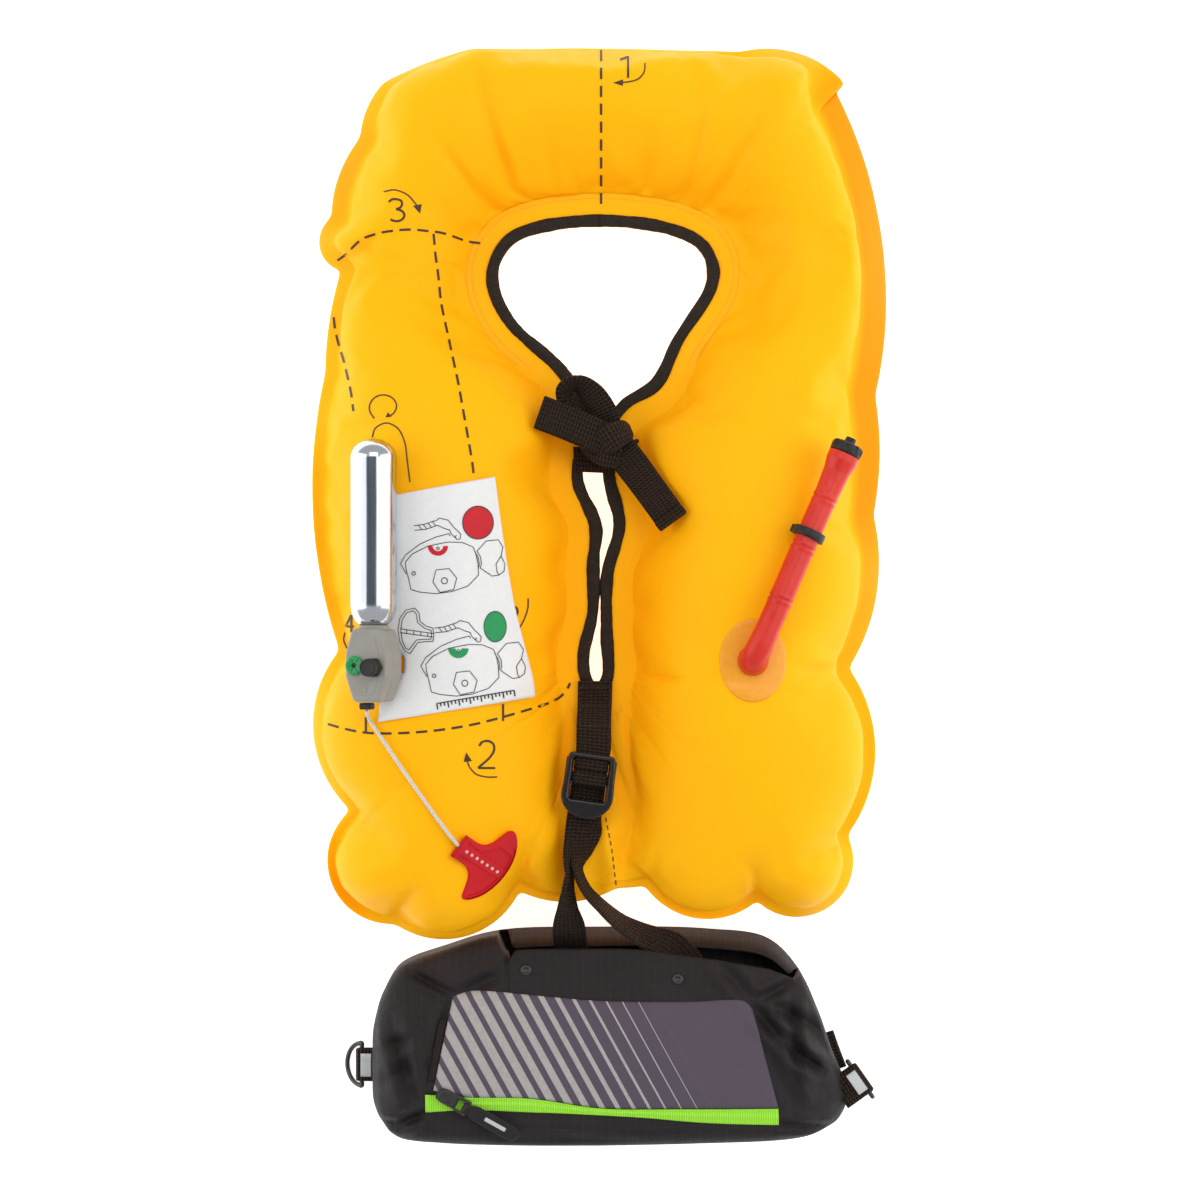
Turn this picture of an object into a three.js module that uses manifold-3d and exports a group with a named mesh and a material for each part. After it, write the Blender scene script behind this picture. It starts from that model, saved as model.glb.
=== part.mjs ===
// Inflatable life vest lying on its back: an inflated keyhole bladder, front up, and the open
// belt pouch that it unfolds from. Millimetres, X across the chest, Y from pouch to collar, Z up.
import * as THREE from 'three';
import { mergeVertices } from 'three/addons/utils/BufferGeometryUtils.js';
import Module from 'manifold-3d';

const wasm = await Module();
wasm.setup();

const vec = (x, y, z = 0) => new THREE.Vector3(x, y, z);
const lerp = THREE.MathUtils.lerp;
const radians = THREE.MathUtils.degToRad;

// Driving dimensions
const GAP = 0.35; // clearance between pieces that touch on the real vest
const SEAM_Z = 54; // height of the welded seam over the lobes
const COLLAR_DROP = 18; // how much lower the seam lies behind the neck
const COLLAR_FROM_Y = 100;
const COLLAR_TO_Y = 235;
const SWELL = 0.92; // half height of the bladder over the mean distance from its two welds
const FLANGE_HALF = 1; // half thickness of the two sheets welded together
const BLADDER_WALL = 1.6;
const LEAST_AIR = 0.3; // half height of the air space where the sheets all but meet
const SCALLOP_STEP = 20; // length of flange edge between two cross-sections
const TOP_ROWS = 5;
const UNDER_ROWS = 4;
const NECK_WELD = 15; // neck weld's distance from the middle of the binding tape

const TAPE_WIDTH = 6.5;
const TAPE_HALF = 2.5;
const TAPE_WALL = 0.95;
const TAPE_SLOT = 4;
const NECK_EDGE = 1.4; // the sheet stops this far short of the tape's middle
const WEBBING = 19;
const WEBBING_THICK = 1.5;

const TUBE_RADIUS = 6.6;
const TUBE_BORE = 4.2;
const TUBE_FLARE = 8.6;
const CYLINDER_RADIUS = 12.6;
const CYLINDER_NECK = 5.5;
const BODY_DEPTH = 21;
const BODY_LEAN = -0.38; // the inflator faces up and out to the left
const CORD_RADIUS = 1;
const HANDLE_THICK = 3.6;
const CARD_THICK = 0.8;

const POUCH_WALL = 2;
const POUCH_ROUND = 13;
const POUCH_CROWN = 3;
const CLOTH_PANEL = 1;
const RING_WIRE = 1.35;
const RING_HALF = 12;
const RING_REACH = 11.4;
const RING_TAB = 18.5;

// Flange edge, clockwise from the top left: a pinch, how far the next scallop swells past its
// chord, how wide its flange looks from above and how far its edge curls up or down
const SCALLOPS = [
  { x: -72.5, y: 304, bulge: 2, flange: 2, lift: -10 },
  { x: 78.5, y: 302.5, bulge: 11, flange: 8, lift: -8 },
  { x: 132, y: 282.5, bulge: 15.6, flange: 18, lift: -6 },
  { x: 153.5, y: 113, bulge: 3, flange: 17, lift: 2 },
  { x: 152.5, y: 46, bulge: 9, flange: 14, lift: -5 },
  { x: 138.5, y: -39, bulge: 15, flange: 12, lift: 5 },
  { x: 137.5, y: -132, bulge: 27, flange: 9, lift: -5 },
  { x: 87, y: -168.5, bulge: 14, flange: 7, lift: 4 },
  { x: 24.5, y: -160, bulge: 0.5, flange: 6, lift: 0 },
  { x: 9, y: -161, bulge: 7, flange: 6, lift: 3 },
  { x: -45, y: -163, bulge: 17, flange: 7, lift: -4 },
  { x: -114.5, y: -181.5, bulge: 24, flange: 8, lift: 5 },
  { x: -139.5, y: -118, bulge: 18, flange: 9, lift: -5 },
  { x: -145.5, y: -29, bulge: 10.5, flange: 8, lift: 4 },
  { x: -153.5, y: 125, bulge: 2, flange: 8, lift: 0 },
  { x: -145.5, y: 183, bulge: 10, flange: 9, lift: -6 },
  { x: -151, y: 214, bulge: 4.5, flange: 12, lift: -4 },
  { x: -135, y: 258.5, bulge: 3, flange: 8, lift: -3 },
  { x: -121, y: 286, bulge: 2.5, flange: 4, lift: -8 },
];

// Middle of the binding tape, clockwise from the top of the neck, down the right side of the
// slit, round its foot and back up the left side
const NECK = [
  { x: 0, y: 211 }, { x: 38, y: 206.5 }, { x: 56, y: 198 }, { x: 62.5, y: 186 },
  { x: 61.5, y: 173 }, { x: 43, y: 143 }, { x: 31, y: 119 }, { x: 13, y: 107 },
  { x: 4, y: 92 }, { x: 5, y: 66 }, { x: 10.5, y: 41 }, { x: 3.8, y: 13 },
  { x: 3.4, y: -18 }, { x: 3.6, y: -45 }, { x: -2, y: -52 }, { x: -8, y: -45 },
  { x: -9.5, y: -32 }, { x: -4.4, y: -8 }, { x: -4, y: 20 }, { x: -2.8, y: 40 },
  { x: -12.5, y: 64 }, { x: -12, y: 76 }, { x: -4.2, y: 92 }, { x: -20, y: 124 },
  { x: -50, y: 153 }, { x: -59.5, y: 172 }, { x: -59.5, y: 186 }, { x: -51, y: 200 },
  { x: -35.5, y: 207 },
];

// Flat web between the lobes, from the foot of the slit down to the lower edge
const WEB = [
  { x: -2, y: -50, half: 18 },
  { x: -3, y: -112, half: 22 },
  { x: -3, y: -140, half: 16 },
  { x: 0, y: -164, half: 10 },
];

// Places on the flange edge and on the tape that one cross-section joins, clockwise
const SPOKES = [
  { edgeX: 3, edgeY: 304, neckX: 0, neckY: 211 },
  { edgeX: 120, edgeY: 292, neckX: 50, neckY: 202 },
  { edgeX: 160, edgeY: 190, neckX: 62, neckY: 178 },
  { edgeX: 153, edgeY: 92, neckX: 4, neckY: 92 },
  { edgeX: 138.5, edgeY: -39, neckX: 3.6, neckY: -41 },
  { edgeX: 3, edgeY: -162, neckX: -2, neckY: -52 },
  { edgeX: -145.5, edgeY: -29, neckX: -8.6, neckY: -39 },
  { edgeX: -155, edgeY: 92, neckX: -4.2, neckY: 92 },
  { edgeX: -146, edgeY: 183, neckX: -59.8, neckY: 180 },
  { edgeX: -125, edgeY: 280, neckX: -45, neckY: 203 },
];

// Soft creases that run out from the neck across the collar
const CREASES = [
  { x0: -66, y0: 286, x1: -50, y1: 228, depth: 3, width: 8 },
  { x0: -92, y0: 255, x1: -68, y1: 222, depth: 2.5, width: 8 },
  { x0: 57, y0: 276, x1: 50, y1: 232, depth: 2.5, width: 8 },
  { x0: 92, y0: 270, x1: 66, y1: 225, depth: 3, width: 8 },
];

// Pouch, from its left end to its right end: lower edge, mouth edge and thickness
const POUCH = [
  { x: -128, low: -286, high: -238, depth: 30 },
  { x: -122, low: -294, high: -221, depth: 40 },
  { x: -112, low: -302, high: -206, depth: 46 },
  { x: -88, low: -304.5, high: -196.5, depth: 49 },
  { x: -58, low: -305.5, high: -188, depth: 50 },
  { x: 0, low: -305.8, high: -186, depth: 50 },
  { x: 60, low: -304.5, high: -187, depth: 50 },
  { x: 94, low: -303.5, high: -192, depth: 48 },
  { x: 111, low: -302, high: -208, depth: 45 },
  { x: 122, low: -299, high: -231, depth: 40 },
  { x: 131, low: -295, high: -256, depth: 33 },
  { x: 138, low: -290, high: -270, depth: 25 },
];
const MOUTH_LEFT = -50;
const MOUTH_RIGHT = 105;
const MOUTH_FRONT = [
  { x: -61, y: -189 }, { x: -53, y: -207 }, { x: -46, y: -192 }, { x: 22, y: -195.5 },
  { x: 66, y: -201.5 }, { x: 94, y: -206.5 }, { x: 118, y: -216 },
];

// Strap adjuster: its middle in plan, its turn in degrees and the edges of its bars along it
const LOCK = {
  x: -6.7, y: -104, z: 65, turn: -8, width: 29, thick: 4,
  top: 18, fixedBar: 14.5, barTop: 6, barLow: 2.5, lip: -8, bottom: -18,
};

// Mouth tube: its route with its rise over the lobe, and its outer radius along it
const TUBE_ROUTE = [
  { x: 83, y: -34, rise: 0.8 }, { x: 83, y: -33.5, rise: 5.6 }, { x: 85, y: -29, rise: 10 },
  { x: 90, y: -18, rise: 11 }, { x: 111, y: 30, rise: 7 }, { x: 132.5, y: 78, rise: 2 },
];
const TUBE_WIDTHS = [
  { part: 0, radius: 8.4 }, { part: 0.04, radius: 7.4 }, { part: 0.2, radius: 6.6 },
  { part: 0.8, radius: 6.6 }, { part: 0.92, radius: 7.4 }, { part: 0.97, radius: 8.6 },
  { part: 1, radius: 8.6 },
];
const TUBE_STEPS = 15;
const TUBE_SIDES = 9;
const CLIP_PART = 0.63;
const PATCH = { radiusX: 18, radiusY: 22.5, thick: 0.8, points: 16 };

// Inflator: the middle of its back plate, and heights along the cylinder in its own frame
const INFLATOR = { x: -119, y: -36.5 };
const NECK_END = 11;
const SHOULDER_LOW = 21.5;
const SHOULDER_TOP = 34;
const CYLINDER_TOP = 123;
const STEM_RADIUS = 7.5;
const STEM_NUT = 11;
const TAG_ROOM = 2; // room for the card between the inflator and the lobe
const TAG_CORNERS = [
  { x: -112, y: 56 }, { x: -57.5, y: 66.5 }, { x: -36.2, y: -50 }, { x: -121, y: -67 },
];
const HANDLE = { x: -78, y: -134.5, turn: radians(-36) };
const CORD_ROUTE = [
  { x: -126, y: -66 }, { x: -118, y: -78 }, { x: -106.5, y: -95 }, { x: -98, y: -107 },
  { x: -91, y: -117 }, { x: -83, y: -128 },
];
const CORD_STEPS = 18;

const COVERS = [
  {
    name: 'pouch_panel', columns: 8, rows: 4, color: 0x5d586c, roughness: 0.8,
    corners: [{ x: -82, y: -220.5 }, { x: 83, y: -224.5 }, { x: 99, y: -284 }, { x: -93, y: -275 }],
  },
  {
    name: 'zip_tape', columns: 8, rows: 1, color: 0x8fe01c, roughness: 0.7,
    corners: [{ x: -97.5, y: -276 }, { x: 99.3, y: -284.8 }, { x: 99.3, y: -292.5 }, { x: -97.5, y: -286 }],
  },
  {
    name: 'side_label', columns: 1, rows: 4, color: 0x151413, roughness: 0.7,
    corners: [{ x: -89.4, y: -234 }, { x: -85.4, y: -233.5 }, { x: -92.4, y: -268.5 }, { x: -96.4, y: -269 }],
  },
];
const EYELETS = [{ name: 'eyelet_left', x: -41.4, y: -207 }, { name: 'eyelet_right', x: 43, y: -212 }];
const ZIP = {
  x: -74.7, y: -283.3, turn: -29, pinHeight: 2.4, pin: 0.8, barrel: 5, barrelOuter: 2.1,
  pullLength: 33, pullWidth: 8.4, pullThick: 1.8,
};
const RING_LEFT = { x: -135, y: -263.6, z: 9, heading: 180, root: 10 };
const RING_RIGHT = { x: 146, y: -270.5, z: 23, heading: 35, root: 15 };
const RING_STEPS = 9;
const RING_SIDES = 6;
const AIR_MARGIN = 20;
const TAPE_STEPS = 74;
const STRAP_MARGIN = 4;
const POUCH_BACK_ROUND = 3;
const COVER_MARGIN = 8;

const vest = new THREE.Group();

function addMesh(parent, name, geometry, color, roughness, metalness = 0) {
  const material = new THREE.MeshStandardMaterial({ color, roughness, metalness });
  const mesh = new THREE.Mesh(geometry, material);
  mesh.name = name;
  parent.add(mesh);
  return mesh;
}

// Closed geometry from points and triangles, turned so that its faces point out
function closedGeometry(points, triangles) {
  let volume = 0;
  for (const [a, b, c] of triangles) {
    volume += points[a].dot(vec(0, 0, 0).crossVectors(points[b], points[c]));
  }
  const ordered = volume < 0 ? triangles.map(([a, b, c]) => [a, c, b]) : triangles;
  const geometry = new THREE.BufferGeometry().setFromPoints(points);
  geometry.setIndex(ordered.flat());
  return geometry;
}

// Skin over a row of cross-sections with equal point counts, capped or closed into a ring
function loft(sections, ring = false) {
  const count = sections[0].length;
  const triangles = [];
  const spans = ring ? sections.length : sections.length - 1;
  for (let i = 0; i < spans; i += 1) {
    const here = i * count;
    const next = ((i + 1) % sections.length) * count;
    for (let j = 0; j < count; j += 1) {
      const k = (j + 1) % count;
      triangles.push([here + j, next + j, next + k], [here + j, next + k, here + k]);
    }
  }
  if (!ring) {
    const last = (sections.length - 1) * count;
    for (let j = 1; j < count - 1; j += 1) {
      triangles.push([0, j, j + 1], [last, last + j + 1, last + j]);
    }
  }
  return closedGeometry(sections.flat(), triangles);
}

// Strap of rectangular section through rows of places; across is the heading of its width and
// tip how far that width rises out of the level, both in degrees
function ribbon(rows, thickness, stepsPerRow = 2) {
  const path = new THREE.CatmullRomCurve3(rows.map((r) => vec(r.x, r.y, r.z)), false, 'centripetal');
  const steps = (rows.length - 1) * stepsPerRow;
  const sections = [];
  for (let i = 0; i <= steps; i += 1) {
    const along = i / stepsPerRow;
    const row = Math.min(Math.floor(along), rows.length - 2);
    const part = along - row;
    const value = (key, rest) => lerp(rows[row][key] ?? rest, rows[row + 1][key] ?? rest, part);
    const heading = radians(value('across', 0));
    const tip = radians(value('tip', 0));
    const across = vec(Math.cos(heading) * Math.cos(tip), Math.sin(heading) * Math.cos(tip), Math.sin(tip));
    const middle = path.getPoint(i / steps);
    const normal = vec(0, 0).crossVectors(path.getTangent(i / steps), across).normalize();
    const half = value('width', WEBBING) / 2;
    const corner = (side, face) => middle.clone()
      .addScaledVector(across, side * half)
      .addScaledVector(normal, face * thickness / 2);
    sections.push([corner(-1, -1), corner(1, -1), corner(1, 1), corner(-1, 1)]);
  }
  return loft(sections);
}

function solidOf(geometry) {
  const bare = geometry.clone();
  bare.deleteAttribute('normal');
  bare.deleteAttribute('uv');
  const merged = mergeVertices(bare);
  return new wasm.Manifold(new wasm.Mesh({
    numProp: 3,
    vertProperties: new Float32Array(merged.attributes.position.array),
    triVerts: new Uint32Array(merged.index.array),
  }));
}

function geometryOf(solid) {
  const mesh = solid.getMesh();
  const geometry = new THREE.BufferGeometry();
  geometry.setAttribute('position', new THREE.BufferAttribute(mesh.vertProperties, 3));
  geometry.setIndex(new THREE.BufferAttribute(mesh.triVerts, 1));
  return geometry;
}

const joined = (geometries) => geometries.map(solidOf).reduce((all, one) => all.add(one));

function prism(outline, bottom, top) {
  const shape = new THREE.Shape(outline.map((p) => new THREE.Vector2(p.x, p.y)));
  const geometry = new THREE.ExtrudeGeometry(shape, { depth: top - bottom, bevelEnabled: false });
  return geometry.translate(0, 0, bottom);
}

const lathe = (profile, sides) => new THREE.LatheGeometry(
  profile.map(([radius, height]) => new THREE.Vector2(radius, height)), sides,
);

// Height of a finished mesh's upper side over a place in plan
function topOf(mesh) {
  const ray = new THREE.Raycaster();
  return (x, y) => {
    ray.set(vec(x, y, 500), vec(0, 0, -1));
    const hit = ray.intersectObject(mesh)[0];
    return hit ? hit.point.z : 0;
  };
}

// Highest point of a surface within reach of a place, so that a facet never dips under it
function highestNear(surface, x, y, reach) {
  const heights = [surface(x, y)];
  for (let angle = 0; angle < 360; angle += 45) {
    const along = reach * Math.cos(radians(angle));
    const up = reach * Math.sin(radians(angle));
    heights.push(surface(x + along, y + up), surface(x + along / 2, y + up / 2));
  }
  return Math.max(...heights);
}

// Thin cover laid on a surface between four corners, its sheet a gap above it
function laidSheet(surface, corners, columns, rows, thickness, reach) {
  const [a, b, c, d] = corners;
  const lower = [];
  for (let j = 0; j <= rows; j += 1) {
    for (let i = 0; i <= columns; i += 1) {
      const u = i / columns;
      const v = j / rows;
      const x = lerp(lerp(a.x, b.x, u), lerp(d.x, c.x, u), v);
      const y = lerp(lerp(a.y, b.y, u), lerp(d.y, c.y, u), v);
      lower.push(vec(x, y, highestNear(surface, x, y, reach) + GAP));
    }
  }
  const upper = lower.map((p) => p.clone().add(vec(0, 0, thickness)));
  const at = (i, j) => j * (columns + 1) + i;
  const base = lower.length;
  const triangles = [];
  for (let j = 0; j < rows; j += 1) {
    for (let i = 0; i < columns; i += 1) {
      const quad = [at(i, j), at(i + 1, j), at(i + 1, j + 1), at(i, j + 1)];
      const [p, q, r, s] = quad;
      triangles.push([p, r, q], [p, s, r]);
      triangles.push([base + p, base + q, base + r], [base + p, base + r, base + s]);
    }
  }
  const rim = [];
  for (let i = 0; i < columns; i += 1) rim.push(at(i, 0));
  for (let j = 0; j < rows; j += 1) rim.push(at(columns, j));
  for (let i = columns; i > 0; i -= 1) rim.push(at(i, rows));
  for (let j = rows; j > 0; j -= 1) rim.push(at(0, j));
  rim.forEach((p, i) => {
    const q = rim[(i + 1) % rim.length];
    triangles.push([p, q, base + q], [p, base + q, base + p]);
  });
  return closedGeometry([...lower, ...upper], triangles);
}

const seamHeight = (y) => SEAM_Z - COLLAR_DROP * THREE.MathUtils.smoothstep(y, COLLAR_FROM_Y, COLLAR_TO_Y);

// Flange edge as arcs between the pinches, with its flange width and curl at each point
function flangeEdge(step) {
  const edge = [];
  SCALLOPS.forEach((row, i) => {
    const next = SCALLOPS[(i + 1) % SCALLOPS.length];
    const before = SCALLOPS.at(i - 1);
    const chord = vec(next.x - row.x, next.y - row.y);
    const length = chord.length();
    const out = vec(-chord.y, chord.x).divideScalar(length);
    const radius = (length * length / 4 + row.bulge * row.bulge) / (2 * row.bulge);
    const sweep = Math.asin(Math.min(1, length / 2 / radius));
    const count = 2 * Math.max(2, Math.round(sweep * radius / step));
    for (let k = 0; k < count; k += 1) {
      const part = k / count;
      const angle = lerp(-sweep, sweep, part);
      const along = 0.5 + radius * Math.sin(angle) / length;
      const rise = radius * Math.cos(angle) - (radius - row.bulge);
      const swell = Math.sin(Math.PI * part);
      const beside = part < 0.5 ? before : next;
      const flange = lerp((row.flange + beside.flange) / 2, row.flange, swell);
      const spot = vec(row.x, row.y).addScaledVector(chord, along).addScaledVector(out, rise);
      edge.push({ x: spot.x, y: spot.y, flange, lift: row.lift * swell });
    }
  });
  return edge;
}

function neckLine(count) {
  const curve = new THREE.CatmullRomCurve3(NECK.map((p) => vec(p.x, p.y)), true, 'centripetal');
  return curve.getSpacedPoints(count).slice(0, count);
}

const FINE_STEP = 3;
const fineEdge = flangeEdge(FINE_STEP);
const fineNeck = neckLine(260);

function leastRoom(line, x, y, keptAt) {
  let room = Infinity;
  for (const q of line) {
    room = Math.min(room, Math.sqrt((x - q.x) ** 2 + (y - q.y) ** 2) - keptAt(q));
  }
  return room;
}

const edgeRoom = (x, y) => leastRoom(fineEdge, x, y, (q) => q.flange);
const neckRoom = (x, y) => leastRoom(fineNeck, x, y, () => NECK_WELD);

function webRoom(x, y) {
  let room = Infinity;
  for (let i = 0; i < WEB.length - 1; i += 1) {
    const a = WEB[i];
    const b = WEB[i + 1];
    const span = vec(b.x - a.x, b.y - a.y);
    const part = THREE.MathUtils.clamp(vec(x - a.x, y - a.y).dot(span) / span.lengthSq(), 0, 1);
    const away = Math.hypot(x - lerp(a.x, b.x, part), y - lerp(a.y, b.y, part));
    room = Math.min(room, away - lerp(a.half, b.half, part));
  }
  return room;
}

const innerRoom = (x, y) => Math.min(neckRoom(x, y), webRoom(x, y));

// Points of a weld line: a line moved sideways, kept where it is nowhere nearer than it should be
function weldLine(line, offsetAt, ring, room) {
  const weld = [];
  line.forEach((p, i) => {
    const last = line.length - 1;
    const before = line[i > 0 ? i - 1 : ring ? last : 0];
    const after = line[i < last ? i + 1 : ring ? 0 : last];
    const tangent = vec(after.x - before.x, after.y - before.y);
    const length = tangent.length() / (i === 0 || i === last ? (ring ? 2 : 1) : 2);
    const side = vec(-tangent.y, tangent.x).normalize();
    const x = p.x + side.x * offsetAt(p);
    const y = p.y + side.y * offsetAt(p);
    if (room(x, y) > -0.4) weld.push({ x, y, length });
  });
  return weld;
}

function webLine() {
  const line = [];
  for (let i = 0; i < WEB.length - 1; i += 1) {
    for (let part = 0; part < 1; part += 0.08) {
      const mix = (key) => lerp(WEB[i][key], WEB[i + 1][key], part);
      line.push({ x: mix('x'), y: mix('y'), half: mix('half') });
    }
  }
  return line;
}

const outerWeld = weldLine(fineEdge, (p) => -p.flange, true, edgeRoom);
const innerWeld = [
  ...weldLine(fineNeck, () => NECK_WELD, true, innerRoom),
  ...weldLine(webLine(), (p) => p.half, false, innerRoom),
  ...weldLine(webLine(), (p) => -p.half, false, innerRoom),
];

// Smoothed distance from a weld, exact beside a straight one and rounded in its corners
function weldDistance(weld, x, y) {
  let nearness = 0;
  for (const q of weld) {
    const square = (x - q.x) ** 2 + (y - q.y) ** 2;
    nearness += q.length / (square * square + 0.01);
  }
  return Math.cbrt(Math.PI / 2 / nearness);
}

function creaseDepth(x, y) {
  let depth = 0;
  for (const c of CREASES) {
    const span = vec(c.x1 - c.x0, c.y1 - c.y0);
    const part = THREE.MathUtils.clamp(vec(x - c.x0, y - c.y0).dot(span) / span.lengthSq(), 0, 1);
    const away = Math.hypot(x - lerp(c.x0, c.x1, part), y - lerp(c.y0, c.y1, part));
    depth += c.depth * Math.exp(-((away / c.width) ** 2));
  }
  return depth;
}

// Half height of the inflated bladder over its seam
function swellHeight(x, y) {
  if (edgeRoom(x, y) <= 0 || innerRoom(x, y) <= 0) return 0;
  const swell = SWELL * Math.sqrt(weldDistance(outerWeld, x, y) * weldDistance(innerWeld, x, y));
  return Math.max(0, swell - Math.min(creaseDepth(x, y), swell / 3));
}

const arcLengths = (line) => {
  const lengths = [0];
  for (let i = 1; i < line.length; i += 1) {
    lengths.push(lengths[i - 1] + Math.hypot(line[i].x - line[i - 1].x, line[i].y - line[i - 1].y));
  }
  return lengths;
};

const nearestIndex = (line, x, y) => {
  let best = 0;
  line.forEach((p, i) => {
    const now = Math.hypot(line[best].x - x, line[best].y - y);
    if (Math.hypot(p.x - x, p.y - y) < now) best = i;
  });
  return best;
};

// For each point of the flange edge, the point of the neck line at the other end of its section
function spokesOf(edge) {
  const neck = neckLine(1200);
  const neckAt = SPOKES.map((s) => nearestIndex(neck, s.neckX, s.neckY));
  const edgeAt = SPOKES.map((s) => nearestIndex(edge, s.edgeX, s.edgeY));
  const lengths = arcLengths(edge);
  const total = lengths.at(-1) + Math.hypot(edge[0].x - edge.at(-1).x, edge[0].y - edge.at(-1).y);
  return edge.map((p, i) => {
    for (let s = 0; s < SPOKES.length; s += 1) {
      const t = (s + 1) % SPOKES.length;
      const from = lengths[edgeAt[s]];
      const span = (lengths[edgeAt[t]] - from + total) % total;
      const along = (lengths[i] - from + total) % total;
      if (along <= span) {
        const reach = (neckAt[t] - neckAt[s] + neck.length) % neck.length;
        return neck[(neckAt[s] + Math.round(reach * along / span)) % neck.length];
      }
    }
    return neck[0];
  });
}

// Part of the way from one point to another at which a room turns positive
function crossing(from, to, room) {
  const roomAt = (part) => room(lerp(from.x, to.x, part), lerp(from.y, to.y, part));
  const probes = 60;
  let found = 1;
  while (found < probes && roomAt(found / probes) <= 0) found += 1;
  let low = (found - 1) / probes;
  let high = found / probes;
  for (let i = 0; i < 14; i += 1) {
    const middle = (low + high) / 2;
    if (roomAt(middle) > 0) high = middle;
    else low = middle;
  }
  return high;
}

// Parts of the way between two welds, closer together towards both
function evenRows(count) {
  return Array.from({ length: count }, (_, i) => (1 - Math.cos(Math.PI * (i + 1) / (count + 1))) / 2);
}

// Cross-sections of the bladder: its place in plan and its half height along each spoke
function bladderSpokes() {
  const edge = flangeEdge(SCALLOP_STEP);
  const neck = spokesOf(edge);
  return edge.map((outer, i) => {
    const inner = neck[i];
    const welds = [crossing(inner, outer, neckRoom), 1 - crossing(outer, inner, edgeRoom)];
    const place = (part) => vec(lerp(inner.x, outer.x, part), lerp(inner.y, outer.y, part));
    return { outer, inner, place, welds };
  });
}

const spokeList = bladderSpokes();
const spokeLength = ({ inner, outer }) => Math.hypot(outer.x - inner.x, outer.y - inner.y);

// Rows of a cross-section between its two welds
function sweptRows({ place, welds }, count) {
  return evenRows(count).map((part) => {
    const at = place(lerp(welds[0], welds[1], part));
    return { at, part, swell: swellHeight(at.x, at.y) };
  });
}

function bladderSection(spoke) {
  const { outer, place, welds } = spoke;
  const rowsOf = (count) => [
    { at: place(NECK_EDGE / spokeLength(spoke)), swell: 0, lift: 0 },
    { at: place(welds[0]), swell: 0, lift: 0 },
    ...sweptRows(spoke, count),
    { at: place(welds[1]), swell: 0, lift: 0 },
    { at: vec(outer.x, outer.y), swell: 0, lift: outer.lift },
  ];
  const height = ({ at, swell, lift = 0 }, side) => seamHeight(at.y) + lift + side * (FLANGE_HALF + swell);
  const upper = rowsOf(TOP_ROWS).map((row) => vec(row.at.x, row.at.y, height(row, 1)));
  const lower = rowsOf(UNDER_ROWS).map((row) => vec(row.at.x, row.at.y, Math.max(0, height(row, -1))));
  return [...upper, ...lower.reverse()];
}

// Air space inside one cross-section, a wall's thickness under each of its faces
function cavitySection(spoke) {
  const width = spokeLength(spoke) * (spoke.welds[1] - spoke.welds[0]);
  const heightsOf = (count) => {
    const rows = sweptRows(spoke, count);
    return rows.map((row, i) => {
      const before = rows[i - 1] ?? { part: 0, swell: 0 };
      const after = rows[i + 1] ?? { part: 1, swell: 0 };
      const slopes = [before, after].map((r) => (r.swell - row.swell) / (r.part - row.part) / width);
      const steepest = Math.max(...slopes.map(Math.abs));
      const room = Math.max(LEAST_AIR, row.swell - BLADDER_WALL * Math.hypot(1, steepest));
      return { x: row.at.x, y: row.at.y, seam: seamHeight(row.at.y), room };
    });
  };
  const upper = heightsOf(TOP_ROWS).map((p) => vec(p.x, p.y, p.seam + p.room));
  const lower = heightsOf(UNDER_ROWS).map((p) => vec(p.x, p.y, Math.max(BLADDER_WALL, p.seam - p.room)));
  return [...upper, ...lower.reverse()];
}

const bladderOuter = solidOf(loft(spokeList.map(bladderSection), true));

// Hollow wall of the bladder: its air space is a horseshoe that stops short of the web at both
// ends, and the mouth tube blows into it through a port
function makeBladder() {
  const webIndex = nearestIndex(spokeList.map((s) => s.outer), WEB.at(-1).x, WEB.at(-1).y);
  const fromWeb = [...spokeList.slice(webIndex), ...spokeList.slice(0, webIndex)];
  const wide = fromWeb.filter((spoke) => {
    const middle = spoke.place(lerp(spoke.welds[0], spoke.welds[1], 0.5));
    return webRoom(middle.x, middle.y) > AIR_MARGIN;
  });
  const air = solidOf(loft(wide.map(cavitySection)));
  const port = new THREE.CylinderGeometry(TUBE_BORE, TUBE_BORE, SEAM_Z, 10).rotateX(Math.PI / 2);
  port.translate(TUBE_ROUTE[0].x, TUBE_ROUTE[0].y, 2 * SEAM_Z);
  return geometryOf(bladderOuter.subtract(air).subtract(solidOf(port)));
}

const bladder = addMesh(vest, 'bladder', makeBladder(), 0xf7a809, 0.5);
const lobe = topOf(new THREE.Mesh(geometryOf(bladderOuter), bladder.material));

// Height at which a strap's middle line clears the lobes on both sides
function strapRest(row) {
  const heading = radians(row.across ?? 0);
  const tip = radians(row.tip ?? 0);
  const half = (row.width ?? WEBBING) / 2;
  const needed = [-1, -0.5, 0, 0.5, 1].map((side) => {
    const reach = side * half;
    const x = row.x + reach * Math.cos(heading) * Math.cos(tip);
    const y = row.y + reach * Math.sin(heading) * Math.cos(tip);
    return highestNear(lobe, x, y, STRAP_MARGIN) - reach * Math.sin(tip);
  });
  return Math.max(...needed) + WEBBING_THICK / 2 + GAP;
}

const overLobes = (rows) => rows.map((row) => ({ ...row, z: Math.max(row.z, strapRest(row)) }));

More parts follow.
